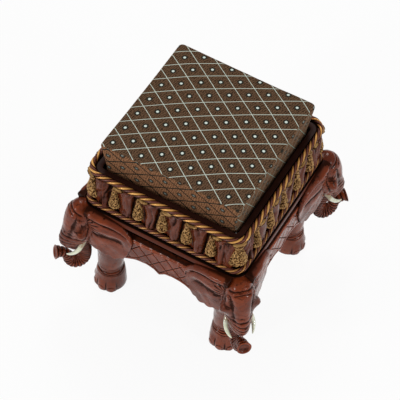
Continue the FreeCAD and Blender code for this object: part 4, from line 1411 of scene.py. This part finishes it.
def blockReach(turns):
    # how far the block's outline lies from the leg's middle, at each turn
    half = np.array(leg["block"])
    corners = np.concatenate([half, half[-2:0:-1] * (1, -1)]) - (leg["out"], 0)
    reach = np.zeros(len(turns))
    for start, end in zip(corners, np.roll(corners, -1, axis=0)):
        edge = end - start
        for index, turn in enumerate(turns):
            aim = np.array([math.cos(turn), math.sin(turn)])
            cross = aim[0] * edge[1] - aim[1] * edge[0]
            if abs(cross) < tiny:
                continue
            far = (start[0] * edge[1] - start[1] * edge[0]) / cross
            part = (start[0] * aim[1] - start[1] * aim[0]) / cross
            if far > 0 and -1e-6 <= part <= 1 + 1e-6:
                reach[index] = max(reach[index], far)
    return reach


def toeMasks(turn, z):
    # the toes' swell, their nails, the nails' rims and the gaps between the toes
    size = leg
    signed = (turn + math.pi) % fullTurn - math.pi
    wide, middle, tall = size["nail"]
    toe, nail, rim, gap = np.zeros((4,) + z.shape)
    for angle in size["toes"]:
        off = (signed - math.radians(angle)) / math.radians(size["toeHalf"])
        oval = (off / wide) ** 2 + ((z - middle) / tall) ** 2
        toe = np.maximum(toe, halfRound(off, 0, 1))
        nail = np.maximum(nail, 1 - smooth(oval, 0.75, 1.0))
        rim = np.maximum(rim, bump(oval, 1.08, 0.16))
        gap = np.maximum(gap, bump(np.abs(off), 1.0, size["gapWidth"]))
    return toe, nail, rim, gap


def buildLegs():
    size = leg
    keys = np.array(size["rings"]) / 1000
    heights = np.concatenate([np.linspace(*span) for span in size["levels"]])
    turns = roundTurns(size["columns"])
    radius = np.interp(heights, keys[:, 0], keys[:, 1])
    soften(radius, size["evenings"])
    z, turn = np.meshgrid(heights, turns, indexing="ij")
    square = smooth(z, *size["square"])
    reach = radius[:, None] * (1 - square) + blockReach(turns)[None] * square
    toe, nail, rim, gap = toeMasks(turn, z)
    low = 1 - smooth(z, *size["toeTop"])
    reach += (size["toeDepth"] * (toe - size["toeBase"]) * low + size["nailRise"] * nail
              - size["nailRim"] * rim)
    wrinkle = np.zeros_like(z)
    for place, (height, depth) in enumerate(size["wrinkles"]):
        wave = height + sum(high * np.sin(turn * count + place * shift)
                            for high, count, shift in size["waves"])
        crease = bump(z, wave, size["wrinkleWidth"])
        reach -= depth * crease
        wrinkle = np.maximum(wrinkle, crease * min(1, depth / size["wrinkleFull"]))
    grid = cornerPoints(size["out"] + reach * np.cos(turn), reach * np.sin(turn), z)
    normals = gridNormals(grid, True)
    soft = softNoise(grid, 0.016, 6) * 0.0006 + softNoise(grid * (1, 1, 0.5), 0.006, 7) * 0.00025
    grid += normals * (soft * window(z, 0.0005, 0.004, 0.12, 0.16))[..., None]
    # painted shade in the hollows and wrinkles, round the nails, between the toes and along the floor
    recess = (0.6 * hollowness(grid, normals, True, 4, 0.0005) + 0.75 * wrinkle
              + (0.7 * rim + 0.6 * gap) * low + 0.6 * (1 - smooth(z, 0.0, 0.0025)))
    placeAll(gridPiece("leg", grid, shadeOf(recess)), cornerTurns, "leg", "leg_", mahogany)


buildLegs()
print("legs made")


# Heads. Sections fan round the jaw and follow the trunk through its curl. Each
# row has the section's two ends on the profile, as out and up in millimetres
# from the head's back and from the floor, its half width, and how far the
# section narrows towards its front end.

head = {
    "back": 0.21406,
    "rows": [
        ((0.0, 176), (0.0, 263), 31.1, 0.30), ((1.5, 177), (10.0, 265.5), 34.0, 0.32),
        ((3.0, 178), (22.0, 267), 35.3, 0.34), ((4.0, 179), (33.5, 260), 36.3, 0.38),
        ((5.0, 179), (42.5, 246), 38.0, 0.44), ((5.1, 178), (49.0, 222), 39.0, 0.52),
        ((4.9, 175), (55.0, 193), 35.0, 0.54), ((4.4, 168), (61.0, 171), 26.5, 0.42),
        ((4.0, 156), (58.5, 151), 20.0, 0.20), ((3.0, 140), (43.0, 139), 16.7, 0.05),
        ((1.0, 124), (25.0, 128), 14.1, 0), ((1.0, 110), (23.5, 113), 12.6, 0),
        ((3.0, 94), (23.0, 103.5), 11.8, 0), ((10.0, 80), (24.5, 96), 11.5, 0),
        ((21.0, 71), (27.0, 92), 11.1, 0), ((34.0, 70), (31.0, 91.5), 11.1, 0),
        ((46.0, 77), (34.5, 95), 10.7, 0), ((53.5, 89), (35.5, 100), 10.5, 0),
        ((56.0, 102), (36.0, 107), 10.4, 0), ((58.0, 110), (40.0, 119), 10.0, 0),
        ((63.0, 113), (52.0, 132), 10.5, 0), ((72.5, 113), (66.5, 139), 13.0, 0)],
    "steps": 230,
    "columns": 96,
    "boxy": (0.18, 5.0, 8.5),  # how much squarer the face is, and the rows where that fades
    "curl": (32.5, 111),  # middle of the trunk's curl, where the wood is closed
    "webFrom": (0.72, 1.0),
    "webRows": (9.4, 11.0, 17.8, 19.2),
    "webShare": 0.97,
    # in millimetres: out, aside, up, radius, height
    "swells": [
        (26, 30, 205, 9.5, 8.5), (28, 30, 239, 7.0, 3.8), (38, 20, 247, 7.5, 2.6),
        (14, 31, 256, 11.0, 1.8), (17, 33, 226, 9.0, -4.0), (22, 25, 166, 7.0, 3.0),
        (42, 24, 222, 8.0, -2.4), (50, 0, 230, 18.0, 1.4), (36, 33, 190, 7.0, -2.2),
        (8, 33, 240, 8.0, -2.0)],
    # the eye: a small ball between lids, with creases round it
    "eye": (0.028, 0.032, 0.240),
    "eyeSpread": (0.014, 0.01, 1.25),
    "ball": (0.0030, 0.0011),
    "lids": ((0.0042, 0.0008, 1.0), (0.0080, 0.0009, 0.6), (0.0115, 0.0009, 0.5),
             (0.0150, 0.0010, 0.35)),  # away, width and share
    "lidCut": 0.0011,
    # creases under the crown, down the cheeks, at the mouth and beside the trunk's root
    "brow": (0.2590, 0.0070, 0.02),
    "crownCut": 0.0021,
    "cheekCut": 0.0018,
    "mouthCut": 0.0020,
    "rootCut": 0.0022,
    "faceFold": (0.0052, 0.0007),  # pitch and depth
    # the trunk's wrinkles are closer and deeper round the curl
    "wrinkle": (0.0072, 0.0011, 0.0006),
    "trunkRows": (6.6, 8.2, 20.2, 20.8),
    "lip": (20.9, 0.22, 0.0012),
    "uneven": ((0.009, 11, 0.00035), (0.004, 12, 0.0002)),
    # rings that turn in and back at the nostril: share, depth and shade
    "nostril": ((0.90, 0.0009, -0.6), (0.78, 0.0004, -0.2), (0.66, -0.0008, 0.35),
                (0.50, -0.0020, 0.3), (0.22, -0.0026, 0.25)),
}


def headGrid(steps, front):
    size = head
    rows = np.array([[*low, *high, half, narrow * 1000] for low, high, half, narrow in size["rows"]])
    shape = through(rows, steps) / 1000
    low, high, half, narrow = shape[:, 0:2], shape[:, 2:4], shape[:, 4, None], shape[:, 5, None]
    around = roundTurns(size["columns"])
    amount, start, end = size["boxy"]
    power = (1 - amount * (1 - smooth(steps, start, end)))[:, None]
    cos, sin = (np.sign(wave)[None] * np.abs(wave)[None] ** power
                for wave in (np.cos(around), np.sin(around)))
    front[:] = cos * 0.5 + 0.5
    middle, reach = (low + high) / 2, (high - low) / 2
    grid = cornerPoints(size["back"] + middle[:, 0, None] + reach[:, 0, None] * cos,
                        half * sin * (1 - narrow * front), middle[:, 1, None] + reach[:, 1, None] * cos)
    # the inner side of the curl runs in to its middle, so the wood isn't pierced
    web = smooth(cos, *size["webFrom"]) * window(steps, *size["webRows"])[:, None]
    centre = np.array([size["back"] + size["curl"][0] / 1000, 0, size["curl"][1] / 1000])
    grid += (centre - grid) * (size["webShare"] * web)[..., None]
    path = np.concatenate([[0], np.cumsum(np.linalg.norm(np.diff(middle, axis=0), axis=1))])
    return grid, path


def faceMasks(out, aside, up, step):
    # the eye's ball and lids, and the face's creases, each from 0 to about 1
    size = head
    eyeOut, eyeAside, eyeUp = size["eye"]
    spread, clear, oval = size["eyeSpread"]
    near = bump(aside, eyeAside, spread) * (out > clear)
    ring = np.hypot((out - eyeOut) / oval, up - eyeUp)
    ball = near * bump(ring, 0, size["ball"][0])
    lids = near * sum(share * bump(ring, away, width) for away, width, share in size["lids"])
    top, sink, wide = size["brow"]
    browLine = top - sink * (aside / wide) ** 2
    crown = bump(up, browLine, 0.0015) * smooth(out, 0.016, 0.026) * (1 - smooth(aside, 0.031, 0.036))
    crown *= 0.7 + 0.6 * smooth(aside, 0.018, 0.026)
    crown += (0.55 * bump(up, browLine - 0.0062, 0.0013) * smooth(out, 0.030, 0.036)
              * (1 - smooth(aside, 0.014, 0.020)))
    cheek = bump(out, 0.0125 + 0.35 * (0.215 - up), 0.0016) * smooth(aside, 0.026, 0.030)
    cheek *= window(up, 0.180, 0.190, 0.222, 0.232)
    mouth = bump(up, 0.181 + 0.25 * (out - 0.02), 0.0020) * smooth(aside, 0.018, 0.026) * (step < 8.2)
    root = bump(aside, 0.0225 - 0.09 * (0.250 - up), 0.0040) * smooth(out, 0.026, 0.034)
    root *= window(up, 0.172, 0.186, 0.240, 0.252) * (step < 8.0)
    fold = 0.5 + 0.5 * np.cos(fullTurn * (up + 0.35 * out) / size["faceFold"][0])
    fold *= smooth(aside, 0.020, 0.027) * bump(up, 0.213, 0.016) * smooth(out, 0.028, 0.036)
    return ball, lids, crown, cheek, mouth, root, fold


def buildHeads():
    size = head
    steps = np.linspace(0, len(size["rows"]) - 1, size["steps"])
    front = np.zeros((size["steps"], size["columns"]))
    grid, path = headGrid(steps, front)
    normals = gridNormals(grid, True)
    if normals[:, size["columns"] // 4, 1].mean() < 0:
        normals = -normals
    out, aside, up = grid[..., 0] - size["back"], np.abs(grid[..., 1]), grid[..., 2]
    step = steps[:, None]
    rise = np.zeros_like(out)
    for farOut, farAside, high, radius, height in np.array(size["swells"]) / 1000:
        away = (out - farOut) ** 2 + (aside - farAside) ** 2 + (up - high) ** 2
        rise += height * np.exp(-away / radius ** 2)
    ball, lids, crown, cheek, mouth, root, fold = faceMasks(out, aside, up, step)
    rise += size["ball"][1] * ball - size["lidCut"] * lids - size["crownCut"] * crown
    rise -= size["cheekCut"] * cheek + size["mouthCut"] * mouth + size["rootCut"] * root
    rise -= size["faceFold"][1] * fold
    pitch, cut, deeper = size["wrinkle"]
    wander = 0.0006 * softNoise(grid, 0.012, 9)
    wrinkle = (0.5 - 0.5 * np.cos(fullTurn * (path[:, None] + wander) / pitch)) ** 2
    wrinkle *= np.maximum(window(step, *size["trunkRows"]), smooth(step, 5.4, 6.2) * front)
    rise -= (cut + deeper * smooth(step, 9, 12)) * wrinkle
    row, width, flare = size["lip"]
    rise += flare * bump(step, row, width)
    rise += sum(height * softNoise(grid, wide, seed) for wide, seed, height in size["uneven"])
    grid = grid + normals * (rise * smooth(step, 0.0, 0.35))[..., None]
    # painted shade in the hollows, lids, creases, folds and wrinkles, on the inner side of the trunk, and
    # at the head's back edge against the leg block
    recess = shadeOf(0.55 * hollowness(grid, normals, True, 4, 0.0005) + 0.8 * lids + 0.65 * crown
                     + 0.8 * cheek + 0.8 * mouth + 0.5 * fold + 0.45 * wrinkle + 0.35 * root
                     + 0.5 * (1 - front) * smooth(step, 8, 10))
    recess = np.maximum(recess, 0.9 * (1 - smooth(step, 0.1, 0.9)) * smooth(aside, 0.012, 0.022))
    # the hollow nostril
    end, centre = grid[-1], grid[-1].mean(axis=0)
    inward = unit(centre - grid[-4].mean(axis=0))
    inner = [centre + (end - centre) * share + inward * depth for share, depth, _ in size["nostril"]]
    shade = [np.full(size["columns"], tone) for _, _, tone in size["nostril"]]
    first = gridPiece("head", np.concatenate([grid, inner]), np.concatenate([recess, shade]))
    placeAll(first, cornerTurns, "head", "head_", mahogany)


buildHeads()


# Tusks

tusk = {
    # out from the head's back, aside and up, with the radius, in millimetres
    "path": [(14.0, 16.5, 176.0), (20.0, 20.0, 167.5), (25.5, 23.4, 160.5), (30.5, 25.0, 154.5),
             (35.5, 25.2, 150.0), (40.0, 24.4, 146.5), (44.5, 23.0, 143.8), (48.5, 21.2, 142.0),
             (52.0, 19.4, 141.2)],
    "radius": [4.3, 4.4, 4.4, 4.2, 3.9, 3.4, 2.7, 1.9, 0.8],
    "rows": 44,
    "columns": 20,
    "socket": (1.5, 2.6),
}


def tubeGrid(path, radius, sides):
    along = unit(np.gradient(path, axis=0))
    side = unit(np.cross(along, (0, 0, 1.0)))
    over = np.cross(side, along)
    around = roundTurns(sides)
    return (path[:, None] + side[:, None] * np.outer(radius, np.cos(around))[..., None]
            + over[:, None] * np.outer(radius, np.sin(around))[..., None])


def buildTusks():
    spots = np.linspace(0, len(tusk["path"]) - 1, tusk["rows"])
    path = through(tusk["path"], spots) / 1000 + (head["back"], 0, 0)
    radius = through(tusk["radius"], spots) / 1000
    recess = np.broadcast_to((1 - smooth(spots, *tusk["socket"]))[:, None],
                             (tusk["rows"], tusk["columns"]))
    pair = [gridPiece("tusk", tubeGrid(path * (1, sign, 1), radius, tusk["columns"]), recess)
            for sign in (1, -1)]
    placeAll(joined("tusks", pair), cornerTurns, "tusks", "tusks_", ivory, "ivory_resin")


buildTusks()
print("heads and tusks made")


# Ears: each a flap with a thick rolled top, a second fold and creases at its root

ear = {
    "tip": 0.0540,
    "length": 0.0837,
    "bottom": 0.150,
    "height": 0.119,
    "back": 0.1648,
    "columns": 120,
    "rows": 80,
    "evenings": 6,
    # upper and lower edge from the tip to the root, as shares of the length and height
    "upper": [(0.0, 0.60), (0.035, 0.72), (0.13, 0.81), (0.26, 0.885), (0.42, 0.92), (0.75, 0.965),
              (1.12, 1.0)],
    "lower": [(0.0, 0.60), (0.04, 0.41), (0.14, 0.20), (0.235, 0.07), (0.40, 0.0), (0.66, 0.04),
              (0.90, 0.115), (1.12, 0.20)],
    "scallop": 0.030,
    "scallopPitch": 0.235,
    "scallopSpan": (0.05, 0.2, 0.9, 1.05),
    "thick": (0.0035, 0.0105),  # at the tip, and added towards the root
    "edge": 0.0042,
    # place below the top, lean, width and height of the roll, the valley and the folds below
    "roll": (0.0085, 0, 0.0062, 0.0042),
    "valley": (0.0205, 0, 0.0042, 0.0040),
    "second": (0.031, 0.010, 0.0060, 0.0022),
    "lower hollow": (0.046, 0.012, 0.0070, 0.0024),
    "root": (0.098, 0.078),  # where the creases spread from
    "creaseCut": 0.0016,
    "veinCut": 0.0006,
    "uneven": (0.012, 0.0005),
}


def earFolds(fromTop, a):
    bands = {name: bump(fromTop, ear[name][0] + ear[name][1] * a, ear[name][2])
             for name in ("roll", "valley", "second", "lower hollow")}
    bands["roll"] *= 1 - 0.4 * smooth(a, 0.8, 1.1)
    bands["valley"] *= window(a, 0.10, 0.25, 0.85, 1.05)
    bands["second"] *= window(a, 0.12, 0.3, 0.75, 1.0)
    bands["lower hollow"] *= smooth(a, 0.15, 0.35)
    return bands


def buildEars():
    size = ear
    across = np.concatenate([[0.0], np.linspace(0.004, size["upper"][-1][0], size["columns"] - 1)])
    top, low = (np.interp(across, *np.array(size[edge]).T) for edge in ("upper", "lower"))
    soften(top, size["evenings"])
    soften(low, size["evenings"])
    scallops = np.abs(np.sin(math.pi * (across - 0.08) / size["scallopPitch"]))
    low += size["scallop"] * (0.5 - scallops) * window(across, *size["scallopSpan"])
    ups = 0.5 - 0.5 * np.cos(np.linspace(0, math.pi, size["rows"]))
    z = (low[:, None] + ups[None] * (top - low)[:, None]) * size["height"]
    a = np.broadcast_to(across[:, None], z.shape)
    x = a * size["length"]
    fromTop, fromLow = top[:, None] * size["height"] - z, z - low[:, None] * size["height"]
    rim = np.minimum(np.minimum(fromTop, fromLow), x * 1.6 + 0.0002)
    edge = np.sqrt(np.clip(1 - (1 - np.clip(rim / size["edge"], 0, 1)) ** 2, 0, 1))
    folds = earFolds(fromTop, a)
    atTip, added = size["thick"]
    out = (atTip + added * smooth(a, 0.05, 1.0)) * edge + size["second"][3] * folds["second"]
    out += (size["roll"][3] * folds["roll"] - size["valley"][3] * folds["valley"]
            - size["lower hollow"][3] * folds["lower hollow"]) * edge
    rootX, rootZ = size["root"]
    turn, far = np.arctan2(z - rootZ, rootX - x), np.hypot(z - rootZ, rootX - x)
    creases = (0.5 + 0.5 * np.cos(turn * 20 + 0.5)) ** 2 * bump(far, 0.022, 0.013)
    creases *= smooth(a, 0.60, 0.78)
    veins = (0.5 + 0.5 * np.cos(turn * 15)) * smooth(far, 0.03, 0.06)
    wide, rough = size["uneven"]
    out += (rough * faceNoise(x, z, wide, 14) - size["veinCut"] * veins) * edge
    out = np.maximum(out - size["creaseCut"] * creases, 0.0004)
    along, up = -(size["tip"] + x), size["bottom"] + z
    front = sidePoints(along, size["back"] + out, up)
    closing = sidePoints(along, size["back"] - 0.0002, up)[:, [-1, 0]]
    normals = gridNormals(front, False)
    normals *= np.sign(normals[..., 1:2] + tiny)
    # painted shade in the hollows, the valley, the lower hollow and the root creases, along the flap's
    # outline, at its root against the head, and on its hidden back strip
    recess = shadeOf(0.6 * hollowness(front, normals, False, 6, 0.0006) + 0.8 * folds["valley"]
                     + 0.35 * folds["lower hollow"] + 0.7 * creases
                     + 0.8 * (1 - smooth(rim, 0.0, 0.0016)) + 0.9 * smooth(a, 0.98, 1.08))
    grid = np.concatenate([front, closing], axis=1)
    recess = np.concatenate([recess, np.full((len(across), 2), 0.6)], axis=1)
    for letter, sign in (("a", 1), ("b", -1)):
        first = gridPiece("ear", grid * (sign, 1, 1), recess)
        for side, piece in turnedCopies(first, sideTurns).items():
            piece.name = piece.data.name = f"ear{side.title()}{letter.upper()}"
            finishPiece(piece, mahogany, "base", "carved_wood", f"ear_{side}_{letter}")


buildEars()
print("ears made")


# Packed pieces whose shapes are right keep them and get their finish

dressed = {
    # the pine seat cleats take the dark rim wood, as painted shade in the gap round the cushion
    "seat_cleat": rimWood,
    "corner_braces": softwood,
    "leg_screws": zinc,
    "seat_board": plywood,
}

for nodeName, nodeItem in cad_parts.items():
    for start, finish in dressed.items():
        if nodeName.startswith(start):
            nodeItem.data.materials.clear()
            nodeItem.data.materials.append(finish)


# Floor, sky and lamps

stage = {
    "floorRadius": 14,
    "floorDrop": 0.0003,
    "floorTone": (0.86, 0.86, 0.86),
    "floorRoughness": 0.9,
    "floorShade": 0.08,
    "sky": 0.50,
    "skyGloss": 0.25,
    "white": (1.0, 1.0, 1.0),
    "aim": (0, 0, 0.25),
    # each lamp's place, width and power
    "lamps": {
        "leftBox": ((-1.3, -2.7, 1.25), 0.45, 28),
        "rightBox": ((2.9, -0.5, 1.25), 0.45, 22),
        "overhead": ((-0.9, 1.6, 2.9), 1.2, 27),
    },
}


def buildFloor():
    rim = [(stage["floorRadius"] * math.cos(turn), stage["floorRadius"] * math.sin(turn),
            -stage["floorDrop"]) for turn in roundTurns(48)]
    floor = meshObject("floor", rim, [list(range(len(rim)))])
    material, tree, shader = newMaterial("paleFloor")
    feed(tree, shader, {"Base Color": stage["floorTone"], "Roughness": stage["floorRoughness"]})
    glow = addNode(tree, "Emission", None, {"Color": stage["white"], "Strength": 1.0})
    path = addNode(tree, "LightPath").outputs
    seen = maths(tree, "MAXIMUM", path["Is Camera Ray"], path["Is Glossy Ray"])
    seen = maths(tree, "MAXIMUM", seen, path["Is Transmission Ray"])
    both = addNode(tree, "MixShader", None, {
        0: times(tree, seen, 1 - stage["floorShade"]), 1: shader.outputs[0], 2: glow.outputs[0]})
    tree.links.new(both.outputs[0], tree.nodes["Material Output"].inputs[0])
    floor.data.materials.append(material)


def buildSky():
    world = bpy.data.worlds.new("paleSky")
    bpy.context.scene.world = world
    world.use_nodes = True
    tree = world.node_tree
    tree.nodes.clear()
    path = addNode(tree, "LightPath").outputs
    seen = maths(tree, "MAXIMUM", path["Is Camera Ray"], path["Is Transmission Ray"])
    strength = maths(tree, "MULTIPLY_ADD", seen, 1 - stage["sky"], stage["sky"])
    strength = maths(tree, "MULTIPLY_ADD", path["Is Glossy Ray"], stage["skyGloss"] - stage["sky"],
                     strength)
    sky = addNode(tree, "Background", None, {"Color": stage["white"], "Strength": strength})
    tree.links.new(sky.outputs[0], addNode(tree, "OutputWorld").inputs[0])


def buildLamps():
    for name, (place, size, power) in stage["lamps"].items():
        lamp = bpy.data.lights.new(name, "AREA")
        lamp.shape = "DISK"
        lamp.size = size
        lamp.energy = power
        made = linked(name, lamp)
        made.location = place
        aim = Vector(stage["aim"]) - Vector(place)
        made.rotation_euler = aim.to_track_quat("-Z", "Y").to_euler()


buildFloor()
buildSky()
buildLamps()
bpy.context.scene.view_settings.view_transform = "Standard"
print("stage lit")
